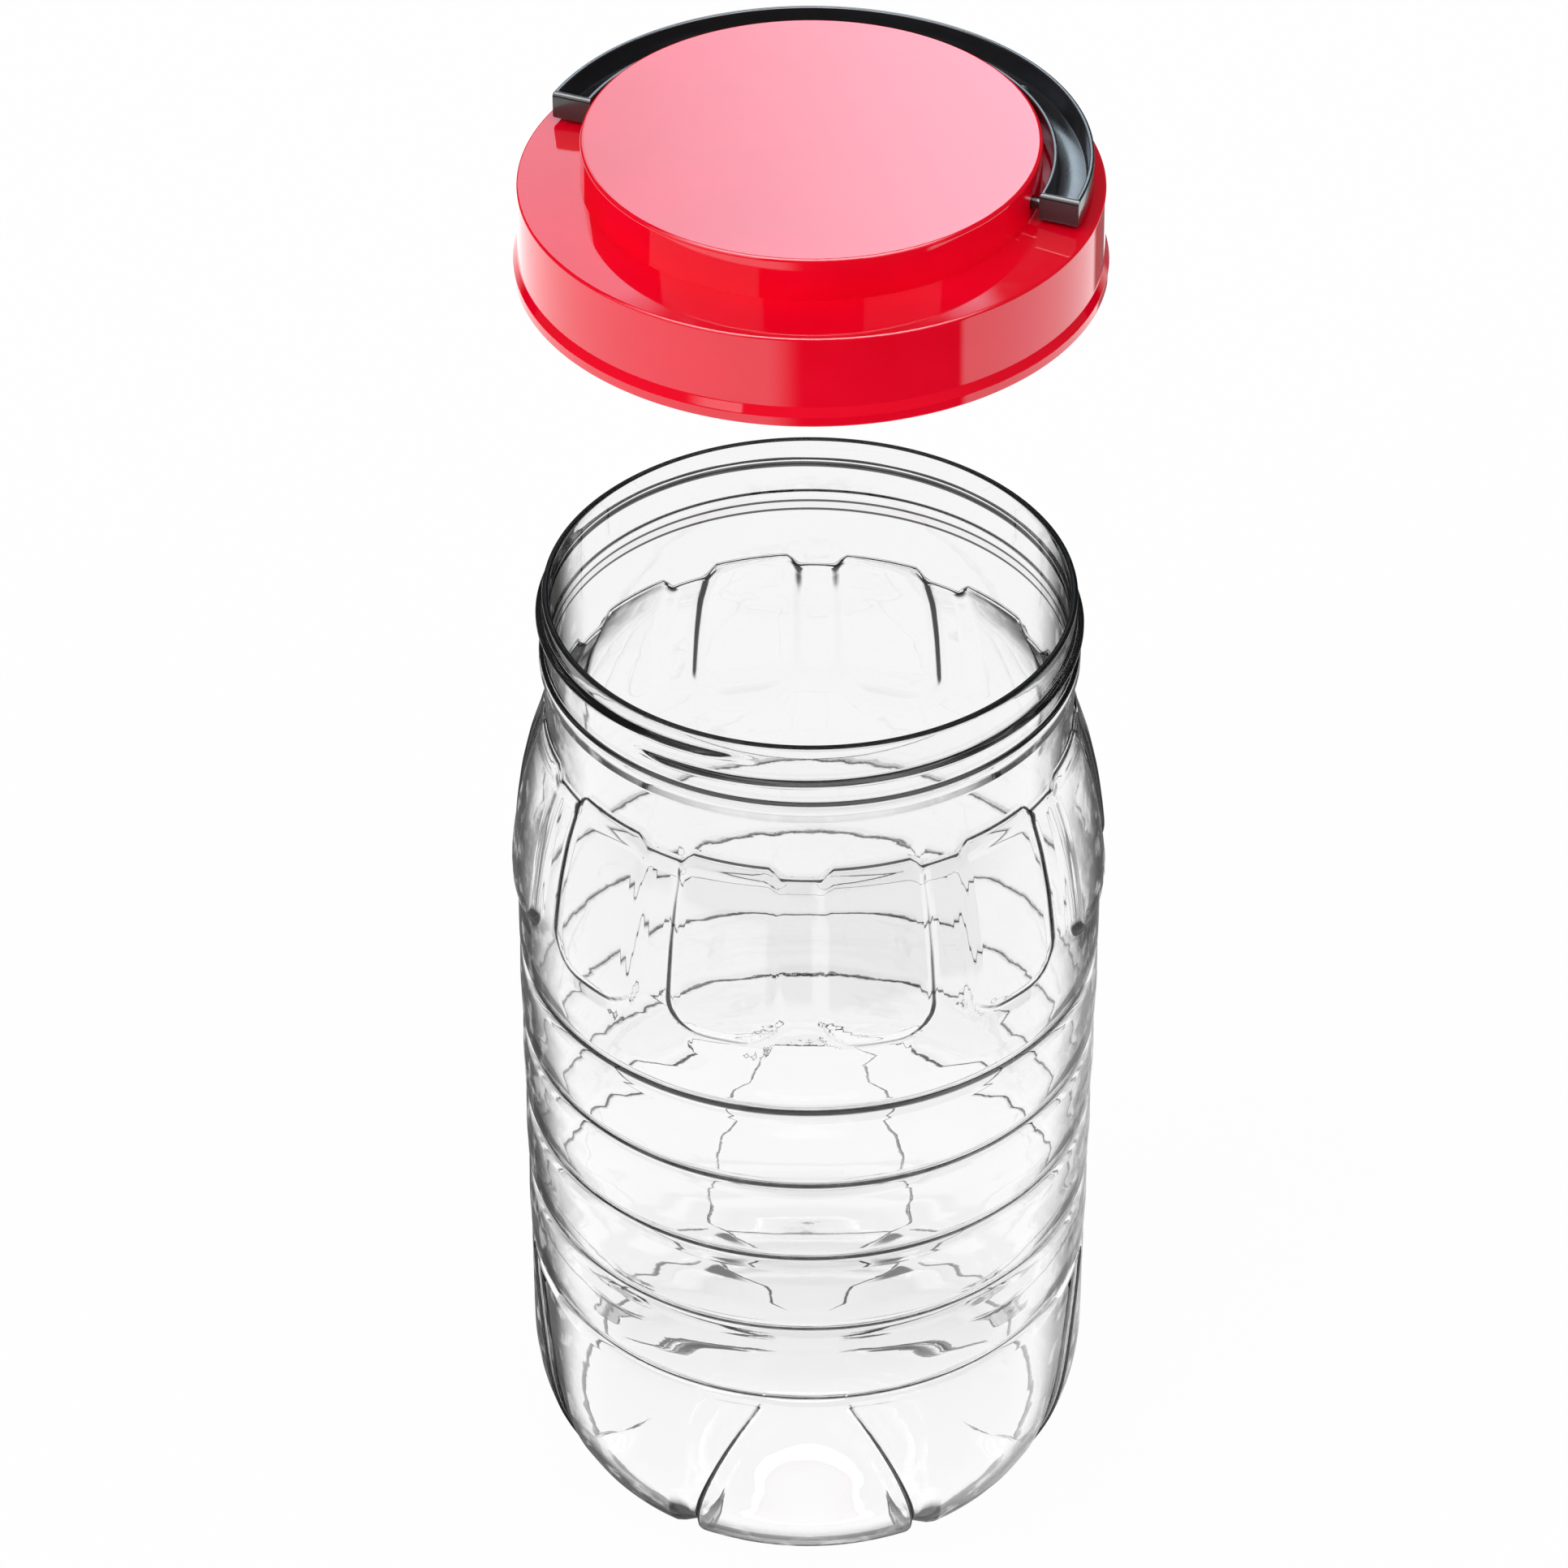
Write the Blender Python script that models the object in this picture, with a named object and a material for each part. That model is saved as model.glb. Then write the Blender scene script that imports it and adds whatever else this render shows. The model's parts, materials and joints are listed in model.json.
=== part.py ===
"""Clear storage jar with a lifted screw cap and a folding carry handle. Metres, +Z up, origin under the jar's axis."""

import math

import bmesh
import bpy
from mathutils import Matrix, Vector

# Jar: heights, from the floor up
LOWEST_RIB_HEIGHT = 0.0652
RIB_PITCH = 0.0259
RIB_COUNT = 5
WAIST_HEIGHT = 0.0236
PANEL_HEIGHT = 0.0518
NECK_HEIGHT = 0.0387

# Jar: radii and walls
RIM_RADIUS = 0.0700
BODY_TOP_RADIUS = 0.0788
BODY_LOW_RADIUS = 0.0781
NECK_WALL = 0.0018
BODY_WALL = 0.0010
RIM_ROUND = 0.0006

# Jar: the support ring that the cap comes down to
RING_DROP = 0.0171
RING_PROUD = 0.0012
RING_HEIGHT = 0.0066
RING_BEVEL = 0.0009

# Jar: twelve raised shoulder panels with webs between them
PANEL_COUNT = 12
PANEL_SWELL = 0.0014
PANEL_STEP = 0.00165
PANEL_CORNER = 0.0080
WEB_DROP = 0.0035
WEB_AZIMUTH = math.radians(-91.6)
WEB_WIDTH_SHARE = 0.253
STEP_WIDTH_SHARE = 0.047
CORNER_WIDTH_SHARE = 0.093
PANEL_CURVE_SHARES = ((0.512, 0.72), (0.759, 0.504), (0.897, 0.29), (1.0, 0.183))
CORNER_TOP_SHARE = 0.6
STEP_FOOT_SHARE = 0.45

# Jar: rib grooves round the body
RIB_DEPTH = 0.0020
TOP_RIB_DEPTH = 0.0027
RIB_HALF_WIDTH = 0.0034
BARREL_BULGE = 0.0003

# Jar: four feet that widen towards the floor, four narrower ones between them, and a valley between each two
FOOT_PAIRS = 4
FOOT_AZIMUTH = math.radians(-90.5)
FOOT_TOP_SHARE = 0.092
FOOT_TOP_DROP = 0.0030
FOOT_LOW_SHARE = 0.278
FOOT_CURVE = 0.53
FOOT_COLUMN_SHARES = (0.2, 0.6, 1.0)
NEXT_TOP_SHARE = 0.385
NEXT_LOW_SHARE = 0.355
NEXT_COLUMN_SHARES = (0.0, 0.3, 0.6, 0.87)
VALLEY_STEP_SHARE = 0.022
VALLEY_DEPTH_SHARES = (1.0, 0.6)
VALLEY_DEPTH = 0.0013
VALLEY_RISE = 0.0032
HEEL_HEIGHT = 0.0310
FOOT_RADIUS = 0.0682
FOOT_FLAT = 0.0065
PUSH_UP = 0.0120
HEEL_SHARES = ((1.0, 1.0), (0.89, 0.655), (0.53, 0.316))
DOME_SHARES = ((0.74, 0.45), (0.34, 0.88))
DOME_VALLEY_SHARES = (0.55, 0.0)

# Cap
THREAD_ROOM = 0.0024
SKIRT_WALL = 0.0010
SKIRT_HEIGHT = 0.0250
LIP_PROUD = 0.0012
LIP_HEIGHT = 0.0027
LIP_SLOPE = 0.0005
LEDGE_WIDTH = 0.0162
LEDGE_WALL = 0.0013
PLATEAU_RISE = 0.0113
CAP_ROUND = 0.0008

# Sealing liner
LINER_THICKNESS = 0.0015
LINER_ROOM = 0.0006
FITTING_GAP = 0.0003

# Handle
HANDLE_WIDTH = 0.0102
HANDLE_HEIGHT = 0.0075
HANDLE_WALL = 0.0013
HANDLE_GAP = 0.0026
HANDLE_AZIMUTH = math.radians(68.5)
LEDGE_GAP = 0.0004
PIVOT_SETBACK = 0.0023
END_REACH = 0.0020
END_ROUND = 0.0011
PIN_RADIUS = 0.0015
PIN_TIP = 0.0010
PIN_CLEARANCE = 0.0003
BOSS_RADIUS = 0.0019
BOSS_AZIMUTH = math.radians(38.2)

# How far the cap stands above its closed place, as it is shown
LID_LIFT = 0.1220

# Rounds are cut into this many steps
JAR_COLUMNS = 72
CAP_STEPS = 60
HANDLE_STEPS = 34
PIN_STEPS = 16
CUT_OVERRUN = 0.0020
MERGE = 0.0000005

# Heights and radii that follow from the sizes above
TOP_RIB_HEIGHT = LOWEST_RIB_HEIGHT + RIB_PITCH * (RIB_COUNT - 1)
PANEL_FOOT_HEIGHT = TOP_RIB_HEIGHT + WAIST_HEIGHT
CREASE_HEIGHT = PANEL_FOOT_HEIGHT + PANEL_HEIGHT
JAR_HEIGHT = CREASE_HEIGHT + NECK_HEIGHT
PANEL_RADIUS = BODY_TOP_RADIUS + PANEL_SWELL
CAP_INNER_RADIUS = RIM_RADIUS + THREAD_ROOM
SKIRT_RADIUS = CAP_INNER_RADIUS + SKIRT_WALL
PLATEAU_RADIUS = SKIRT_RADIUS - LEDGE_WIDTH
LEDGE_UNDERSIDE = SKIRT_HEIGHT - LEDGE_WALL
LINER_TOP = LEDGE_UNDERSIDE - FITTING_GAP
LINER_FOOT = LINER_TOP - LINER_THICKNESS
CLOSED_HEIGHT = JAR_HEIGHT + FITTING_GAP - LINER_FOOT
CAP_HEIGHT = CLOSED_HEIGHT + LID_LIFT
PIVOT_HEIGHT = SKIRT_HEIGHT + LEDGE_GAP + HANDLE_HEIGHT / 2
HANDLE_INNER_RADIUS = PLATEAU_RADIUS + HANDLE_GAP
HANDLE_OUTER_RADIUS = HANDLE_INNER_RADIUS + HANDLE_WIDTH


def clear_scene():
    for thing in list(bpy.data.objects):
        bpy.data.objects.remove(thing)


def plastic(name, color, roughness, transmission=0.0):
    """A moulded plastic: one Principled shader with the colour of the piece."""
    material = bpy.data.materials.new(name)
    material.use_nodes = True
    shader = material.node_tree.nodes["Principled BSDF"]
    shader.inputs["Base Color"].default_value = (*color, 1.0)
    shader.inputs["Roughness"].default_value = roughness
    shader.inputs["Metallic"].default_value = 0.0
    shader.inputs["Transmission Weight"].default_value = transmission
    return material


def add_piece(name, mesh, material, place=(0, 0, 0), turn=0.0, parent=None):
    """One named piece, shaded smooth over its rounds and sharp at its edges."""
    mesh.shade_smooth()
    mesh.set_sharp_from_angle(angle=math.radians(30))
    mesh.materials.append(material)
    piece = bpy.data.objects.new(name, mesh)
    bpy.context.scene.collection.objects.link(piece)
    piece.location = place
    piece.rotation_euler = (0, 0, turn)
    piece.parent = parent
    return piece


def add_tool(name, mesh, place, turn, parent=None):
    """A helper for a Boolean, kept out of the model."""
    tool = bpy.data.objects.new(name, mesh)
    bpy.context.scene.collection.objects.link(tool)
    tool.location = place
    tool.rotation_euler = (0, 0, turn)
    tool.parent = parent
    tool.hide_render = True
    tool.display_type = "WIRE"
    return tool


def combine(piece, tool, operation):
    modifier = piece.modifiers.new(tool.name, "BOOLEAN")
    modifier.operation = operation
    modifier.solver = "EXACT"
    modifier.object = tool


def mesh_of(name, build):
    """Runs build on an empty bmesh and returns the mesh that it leaves."""
    shape = bmesh.new()
    build(shape)
    mesh = bpy.data.meshes.new(name)
    shape.to_mesh(mesh)
    shape.free()
    return mesh


def between(first, last, share):
    return first + (last - first) * share


# The jar is a stack of rings with one shared count of columns. A ring is a list of (azimuth, radius, height).


def even_azimuths():
    pitch = math.tau / JAR_COLUMNS
    return [WEB_AZIMUTH + pitch * (column + 0.5) for column in range(JAR_COLUMNS)]


def panel_azimuths():
    """Six columns to a panel: web edge, panel edge, corner, corner, panel edge, web edge."""
    pitch = math.tau / PANEL_COUNT
    web = WEB_WIDTH_SHARE / 2
    edge = web + STEP_WIDTH_SHARE
    corner = edge + CORNER_WIDTH_SHARE
    shares = (web, edge, corner, 1 - corner, 1 - edge, 1 - web)
    return [WEB_AZIMUTH + pitch * (panel + share) for panel in range(PANEL_COUNT) for share in shares]


def foot_azimuths(height):
    """Nine columns from the middle of a foot to the middle of the next: foot, valley and next foot, then mirrored."""
    pitch = math.tau / FOOT_PAIRS
    rise = height / LOWEST_RIB_HEIGHT
    edge = between(FOOT_LOW_SHARE, FOOT_TOP_SHARE, rise * between(1, rise, FOOT_CURVE))
    valley = edge + VALLEY_STEP_SHARE
    next_edge = between(NEXT_LOW_SHARE, NEXT_TOP_SHARE, rise)
    shares = [edge * share for share in FOOT_COLUMN_SHARES]
    shares += [valley, between(valley, next_edge, 0.5)]
    shares += [between(next_edge, 0.5, share) for share in NEXT_COLUMN_SHARES]
    shares += [1 - share for share in reversed(shares)]
    return [FOOT_AZIMUTH + pitch * (foot + share) for foot in range(FOOT_PAIRS) for share in shares]


def blend_azimuths(first, last, share):
    return [between(a, b, share) for a, b in zip(first, last)]


def plain_ring(radius, height, azimuths=None):
    return [(azimuth, radius, height) for azimuth in azimuths or even_azimuths()]


def shoulder_ring(panel, edge, web):
    """A ring through the panels: panel, edge and web are (radius, height) at the columns of each kind."""
    kinds = (web, edge, panel, panel, edge, web)
    places = [kinds[column % len(kinds)] for column in range(JAR_COLUMNS)]
    return [(azimuth, *place) for azimuth, place in zip(panel_azimuths(), places)]


def foot_ring(width_height, foot, valley):
    """A ring through the feet, as wide as they are at one height. Foot and valley are (radius, height)."""
    half = [0] * len(FOOT_COLUMN_SHARES) + [*VALLEY_DEPTH_SHARES] + [0] * len(NEXT_COLUMN_SHARES)
    depths = half + half[::-1]
    ring = []
    for column, azimuth in enumerate(foot_azimuths(width_height)):
        depth = depths[column % len(depths)]
        ring.append((azimuth, between(foot[0], valley[0], depth), between(foot[1], valley[1], depth)))
    return ring


def rim_rings():
    return [
        plain_ring(RIM_RADIUS - RIM_ROUND, JAR_HEIGHT),
        plain_ring(RIM_RADIUS, JAR_HEIGHT - RIM_ROUND),
    ]


def support_ring():
    top = JAR_HEIGHT - RING_DROP
    crest = RIM_RADIUS + RING_PROUD
    return [
        plain_ring(RIM_RADIUS, top),
        plain_ring(crest, top - RING_BEVEL),
        plain_ring(crest, top - RING_HEIGHT + RING_BEVEL),
        plain_ring(RIM_RADIUS, top - RING_HEIGHT),
    ]


def shoulder_rings():
    """From the crease under the neck down to the panels' rounded lower ends."""
    crease_web = (RIM_RADIUS, CREASE_HEIGHT - WEB_DROP)
    crease_edge = (RIM_RADIUS, CREASE_HEIGHT - WEB_DROP * (1 - CORNER_TOP_SHARE))
    rings = [shoulder_ring((RIM_RADIUS, CREASE_HEIGHT), crease_edge, crease_web)]
    swell = PANEL_RADIUS - RIM_RADIUS
    for out_share, height_share in PANEL_CURVE_SHARES:
        radius = RIM_RADIUS + swell * out_share
        height = PANEL_FOOT_HEIGHT + PANEL_HEIGHT * height_share
        rings.append(shoulder_ring((radius, height), (radius, height), (radius - PANEL_STEP, height)))
    low_web = PANEL_RADIUS - PANEL_STEP
    end = PANEL_FOOT_HEIGHT + PANEL_STEP / 2
    corner = end + PANEL_CORNER
    rings.append(shoulder_ring((PANEL_RADIUS, end), (PANEL_RADIUS, corner), (low_web, corner)))
    foot = PANEL_FOOT_HEIGHT - PANEL_STEP / 2
    foot_edge = foot + PANEL_CORNER * STEP_FOOT_SHARE
    rings.append(shoulder_ring((low_web, foot), (low_web, foot_edge), (low_web, foot_edge)))
    return rings


def body_radius(height):
    """The body tapers a little from the shoulder to the feet."""
    share = (height - LOWEST_RIB_HEIGHT) / (TOP_RIB_HEIGHT - LOWEST_RIB_HEIGHT)
    return between(BODY_LOW_RADIUS, BODY_TOP_RADIUS, min(share, 1))


def waist_ring():
    height = between(TOP_RIB_HEIGHT + RIB_HALF_WIDTH, PANEL_FOOT_HEIGHT, 0.5)
    azimuths = blend_azimuths(panel_azimuths(), even_azimuths(), 0.6)
    return [plain_ring(BODY_TOP_RADIUS, height, azimuths)]


def rib_rings():
    """Grooves at a steady pitch, and a slightly barrelled stretch between each two."""
    rings = []
    low_azimuths = foot_azimuths(LOWEST_RIB_HEIGHT - RIB_HALF_WIDTH)
    for rib in range(RIB_COUNT):
        height = TOP_RIB_HEIGHT - RIB_PITCH * rib
        depth = RIB_DEPTH if rib else TOP_RIB_DEPTH
        last = rib == RIB_COUNT - 1
        azimuths = blend_azimuths(even_azimuths(), low_azimuths, 0.5) if last else even_azimuths()
        rings.append(plain_ring(body_radius(height), height + RIB_HALF_WIDTH, azimuths))
        rings.append(plain_ring(body_radius(height) - depth, height, azimuths))
        below = low_azimuths if last else azimuths
        rings.append(plain_ring(body_radius(height), height - RIB_HALF_WIDTH, below))
        if not last:
            middle = height - RIB_PITCH / 2
            rings.append(plain_ring(body_radius(middle) + BARREL_BULGE, middle, azimuths))
    return rings


def foot_rings():
    """The heel curves in to the flat feet, and the bottom rises from them to the middle."""
    top = LOWEST_RIB_HEIGHT - RIB_HALF_WIDTH - FOOT_TOP_DROP
    sunk = BODY_LOW_RADIUS - VALLEY_DEPTH
    rings = [foot_ring(top, (BODY_LOW_RADIUS, top), (sunk, top))]
    reach = BODY_LOW_RADIUS - FOOT_RADIUS
    for out_share, height_share in HEEL_SHARES:
        radius = FOOT_RADIUS + reach * out_share
        height = HEEL_HEIGHT * height_share
        rings.append(foot_ring(height, (radius, height), (radius - VALLEY_DEPTH, height)))
    inner = FOOT_RADIUS - FOOT_FLAT
    for radius in (FOOT_RADIUS, inner):
        rings.append(foot_ring(0, (radius, 0), (radius - VALLEY_DEPTH, VALLEY_RISE)))
    for (radius_share, rise_share), valley_share in zip(DOME_SHARES, DOME_VALLEY_SHARES):
        radius = inner * radius_share
        height = PUSH_UP * rise_share
        rings.append(foot_ring(0, (radius, height), (radius, height + VALLEY_RISE * valley_share)))
    return rings


def inset_rings(rings, walls):
    """The same rings moved inwards, square to the outline of each column, by a wall for each ring."""
    middle = (0, PUSH_UP)
    inset = []
    for index, ring in enumerate(rings):
        above = rings[max(index - 1, 0)]
        below = rings[index + 1] if index + 1 < len(rings) else None
        moved = []
        for column, (azimuth, radius, height) in enumerate(ring):
            top = Vector(above[column][1:])
            foot = Vector(below[column][1:] if below else middle)
            along = (foot - top).normalized()
            inwards = Vector((along.y, -along.x))
            place = Vector((radius, height)) + inwards * walls[index]
            moved.append((azimuth, place.x, place.y))
        inset.append(moved)
    return inset


def jar_rings():
    """The outer skin from the rim down, and the inner skin from the bottom up."""
    shoulder = shoulder_rings()
    wall_rings = shoulder + waist_ring() + rib_rings() + foot_rings()
    outer = rim_rings() + support_ring() + wall_rings
    walls = [between(NECK_WALL, BODY_WALL, min(index / 2, 1)) for index in range(len(wall_rings))]
    start = support_ring()[-1]
    inner_wall = inset_rings([start] + wall_rings, [NECK_WALL] + walls)[1:]
    bore = RIM_RADIUS - NECK_WALL
    inner_rim = [plain_ring(bore + RIM_ROUND, JAR_HEIGHT), plain_ring(bore, JAR_HEIGHT - RIM_ROUND)]
    return outer, list(reversed(inner_rim + inner_wall))


def jar_mesh(shape):
    """Rings joined by quads, each skin closed by a fan at the middle of the bottom."""

    def corners(ring):
        return [
            shape.verts.new((radius * math.cos(azimuth), radius * math.sin(azimuth), height))
            for azimuth, radius, height in ring
        ]

    def join(first, second):
        for column in range(JAR_COLUMNS):
            after = (column + 1) % JAR_COLUMNS
            shape.faces.new((first[column], second[column], second[after], first[after]))

    outer_rings, inner_rings = jar_rings()
    outer = [corners(ring) for ring in outer_rings]
    inner = [corners(ring) for ring in inner_rings]
    for skin in (outer, inner):
        for first, second in zip(skin, skin[1:]):
            join(first, second)
    join(inner[-1], outer[0])
    outer_middle = shape.verts.new((0, 0, PUSH_UP))
    inner_middle = shape.verts.new((0, 0, PUSH_UP + BODY_WALL))
    for column in range(JAR_COLUMNS):
        after = (column + 1) % JAR_COLUMNS
        shape.faces.new((outer[-1][column], outer_middle, outer[-1][after]))
        shape.faces.new((inner_middle, inner[0][column], inner[0][after]))


def turned(outline, steps):
    """A function that turns an outline of (radius, height) points, both ends on the axis, into a closed solid."""

    def build(shape):
        corners = [shape.verts.new((radius, 0, height)) for radius, height in outline]
        edges = [shape.edges.new(pair) for pair in zip(corners, corners[1:])]
        bmesh.ops.spin(
            shape, geom=corners + edges, cent=(0, 0, 0), axis=(0, 0, 1), dvec=(0, 0, 0), angle=math.tau, steps=steps
        )
        bmesh.ops.remove_doubles(shape, verts=shape.verts, dist=MERGE)
        bmesh.ops.recalc_face_normals(shape, faces=shape.faces)

    return build


def cap_outline():
    """From the middle of the cap's top, out and down to the lip, and back up inside."""
    top = SKIRT_HEIGHT + PLATEAU_RISE
    lip = SKIRT_RADIUS + LIP_PROUD
    hollow = PLATEAU_RADIUS - LEDGE_WALL
    return [
        (0, top),
        (PLATEAU_RADIUS - CAP_ROUND, top),
        (PLATEAU_RADIUS, top - CAP_ROUND),
        (PLATEAU_RADIUS, SKIRT_HEIGHT + CAP_ROUND),
        (PLATEAU_RADIUS + CAP_ROUND, SKIRT_HEIGHT),
        (SKIRT_RADIUS - CAP_ROUND, SKIRT_HEIGHT),
        (SKIRT_RADIUS, SKIRT_HEIGHT - CAP_ROUND),
        (SKIRT_RADIUS, LIP_HEIGHT + LIP_SLOPE),
        (lip, LIP_HEIGHT),
        (lip, 0),
        (CAP_INNER_RADIUS, 0),
        (CAP_INNER_RADIUS, LEDGE_UNDERSIDE),
        (hollow, LEDGE_UNDERSIDE),
        (hollow, top - LEDGE_WALL),
        (0, top - LEDGE_WALL),
    ]


def liner_outline():
    radius = CAP_INNER_RADIUS - LINER_ROOM
    return [(0, LINER_TOP), (radius, LINER_TOP), (radius, LINER_FOOT), (0, LINER_FOOT)]


def rod(radius, start, end):
    """A function that makes a round rod along X, from start to end."""

    def build(shape):
        place = Matrix.Translation(((start + end) / 2, 0, 0)) @ Matrix.Rotation(math.pi / 2, 4, "Y")
        bmesh.ops.create_cone(
            shape,
            cap_ends=True,
            segments=PIN_STEPS,
            radius1=radius,
            radius2=radius,
            depth=abs(end - start),
            matrix=place,
        )

    return build


def arc_bar(inner, outer, foot, top, end_reach, rounding):
    """A function that makes a half-ring bar about the cap's axis. Its ends reach past the pivot line."""

    def build(shape):
        # The bar is drawn about the pivot line, so the cap's axis lies behind it by the setback.
        half = math.pi / 2 - math.asin((PIVOT_SETBACK - end_reach) / between(inner, outer, 0.5))
        section = ((inner, foot), (outer, foot), (outer, top), (inner, top))
        start = math.pi / 2 - half
        corners = [
            shape.verts.new((radius * math.cos(start), radius * math.sin(start) - PIVOT_SETBACK, height))
            for radius, height in section
        ]
        face = shape.faces.new(corners)
        bmesh.ops.spin(
            shape,
            geom=[face],
            cent=(0, -PIVOT_SETBACK, 0),
            axis=(0, 0, 1),
            dvec=(0, 0, 0),
            angle=2 * half,
            steps=HANDLE_STEPS,
        )
        bmesh.ops.remove_doubles(shape, verts=shape.verts, dist=MERGE)
        bmesh.ops.recalc_face_normals(shape, faces=shape.faces)
        if rounding:
            level = [edge for edge in shape.edges if is_end_edge(edge, end_reach)]
            bmesh.ops.bevel(shape, geom=level, offset=rounding, segments=2, profile=0.5, affect="EDGES")

    return build


def is_end_edge(edge, end_reach):
    """The level edges at the bar's two ends, which would scrape the ledge as the handle turns."""
    first, second = (corner.co for corner in edge.verts)
    near_end = max(first.y, second.y) < -end_reach + HANDLE_WALL
    level = abs(first.z - second.z) < MERGE
    across = abs(first.x - second.x) > HANDLE_WIDTH / 2
    return near_end and level and across


def make_jar():
    clear = plastic("clear_plastic", (0.93, 0.95, 0.95), 0.03, transmission=1.0)
    add_piece("jar_body", mesh_of("jar_body", jar_mesh), clear)


def make_liner(cap_axis):
    white = plastic("white_foam", (0.88, 0.88, 0.86), 0.6)
    add_piece("sealing_liner", mesh_of("sealing_liner", turned(liner_outline(), CAP_STEPS)), white, parent=cap_axis)


def make_lid(cap_axis):
    red = plastic("red_plastic", (0.75, 0.0, 0.02), 0.12)
    lid = add_piece("lid", mesh_of("lid", turned(cap_outline(), CAP_STEPS)), red, parent=cap_axis)
    reach = PLATEAU_RADIUS + CUT_OVERRUN
    hole = mesh_of("pin_holes", rod(PIN_RADIUS + PIN_CLEARANCE, -reach, reach))
    combine(lid, add_tool("pin_holes", hole, pivot_place(), handle_turn(), lid), "DIFFERENCE")
    return lid


def handle_turn():
    """The handle is drawn with its middle along +Y and turned to where it points."""
    return HANDLE_AZIMUTH - math.pi / 2


def pivot_place():
    middle = Vector((math.cos(HANDLE_AZIMUTH), math.sin(HANDLE_AZIMUTH), 0)) * PIVOT_SETBACK
    return middle + Vector((0, 0, PIVOT_HEIGHT))


def make_handle(lid):
    black = plastic("black_plastic", (0.012, 0.012, 0.014), 0.18)
    half = HANDLE_HEIGHT / 2
    bar = arc_bar(HANDLE_INNER_RADIUS, HANDLE_OUTER_RADIUS, -half, half, END_REACH, END_ROUND)
    handle = add_piece("carry_handle", mesh_of("carry_handle", bar), black, pivot_place(), handle_turn(), lid)
    channel_inner = HANDLE_INNER_RADIUS + HANDLE_WALL
    channel_outer = HANDLE_OUTER_RADIUS - HANDLE_WALL
    end = END_REACH - HANDLE_WALL
    channel = arc_bar(channel_inner, channel_outer, HANDLE_WALL - half, half + CUT_OVERRUN, end, 0)
    combine(handle, add_tool("channel", mesh_of("channel", channel), (0, 0, 0), 0, handle), "DIFFERENCE")
    for side in (-1, 1):
        boss_radius = channel_inner
        azimuth = math.pi / 2 + side * BOSS_AZIMUTH
        place = Vector((boss_radius * math.cos(azimuth), boss_radius * math.sin(azimuth) - PIVOT_SETBACK, 0))
        boss = mesh_of("boss", upright_boss)
        combine(handle, add_tool("boss", boss, place, azimuth, handle), "UNION")
        tip = PLATEAU_RADIUS - LEDGE_WALL - PIN_TIP
        root = HANDLE_INNER_RADIUS + HANDLE_WALL / 2
        pin = mesh_of("pin", rod(PIN_RADIUS, side * tip, side * root))
        combine(handle, add_tool("pin", pin, (0, 0, 0), 0, handle), "UNION")


def upright_boss(shape):
    """A post that stands on the channel's floor, half sunk in its inner wall."""
    foot = HANDLE_WALL / 2 - HANDLE_HEIGHT / 2
    top = HANDLE_HEIGHT / 2 - HANDLE_WALL
    bmesh.ops.create_cone(
        shape,
        cap_ends=True,
        segments=PIN_STEPS,
        radius1=BOSS_RADIUS,
        radius2=BOSS_RADIUS,
        depth=top - foot,
        matrix=Matrix.Translation((0, 0, (foot + top) / 2)),
    )


def main():
    clear_scene()
    make_jar()
    cap_axis = bpy.data.objects.new("cap_axis", None)
    bpy.context.scene.collection.objects.link(cap_axis)
    cap_axis.location = (0, 0, CAP_HEIGHT)
    make_liner(cap_axis)
    lid = make_lid(cap_axis)
    make_handle(lid)


main()
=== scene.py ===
# %% [markdown]
# # A clear storage jar with a lifted red screw cap
#
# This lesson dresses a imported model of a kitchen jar, which holds the sizes, the joints and the plain solids. Each
# visible piece gets its finer shape and its finish here, in the same place and in metres.

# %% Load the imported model
import json
from math import asin, cos, pi, radians, sin, tan, tau
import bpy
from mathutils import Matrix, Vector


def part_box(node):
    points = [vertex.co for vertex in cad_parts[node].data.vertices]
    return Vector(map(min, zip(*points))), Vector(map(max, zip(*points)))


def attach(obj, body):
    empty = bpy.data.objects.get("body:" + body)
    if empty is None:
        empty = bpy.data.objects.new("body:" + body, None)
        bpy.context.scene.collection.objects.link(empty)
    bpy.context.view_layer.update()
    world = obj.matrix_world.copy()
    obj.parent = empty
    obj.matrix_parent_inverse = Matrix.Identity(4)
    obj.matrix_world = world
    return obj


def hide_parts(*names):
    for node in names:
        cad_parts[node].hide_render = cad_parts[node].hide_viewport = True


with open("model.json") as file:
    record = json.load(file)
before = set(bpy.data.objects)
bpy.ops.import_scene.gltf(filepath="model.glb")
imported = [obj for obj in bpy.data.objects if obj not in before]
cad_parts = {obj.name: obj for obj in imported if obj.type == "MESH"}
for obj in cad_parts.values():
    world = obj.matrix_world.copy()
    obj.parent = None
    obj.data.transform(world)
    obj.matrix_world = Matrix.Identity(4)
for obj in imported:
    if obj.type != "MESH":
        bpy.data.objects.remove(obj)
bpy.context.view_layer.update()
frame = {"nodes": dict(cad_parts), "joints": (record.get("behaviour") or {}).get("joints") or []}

from types import SimpleNamespace

import bmesh
import bpy
import numpy as np
from mathutils import Matrix, Vector

print("packed nodes:", sorted(frame["nodes"]))

# %% [markdown]
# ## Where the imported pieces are
#
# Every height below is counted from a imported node, so the finer pieces stay where the joints expect them. The cap
# rests above the neck, as it does in the photograph.

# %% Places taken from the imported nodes
jar_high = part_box("jar_body")[1].z
cap_low, cap_high = (corner.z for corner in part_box("lid"))
handle_low, handle_high = (corner.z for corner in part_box("carry_handle"))
print(f"jar {jar_high:.4f}, cap {cap_low:.4f} to {cap_high:.4f}, handle {handle_low:.4f} to {handle_high:.4f}")

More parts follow.
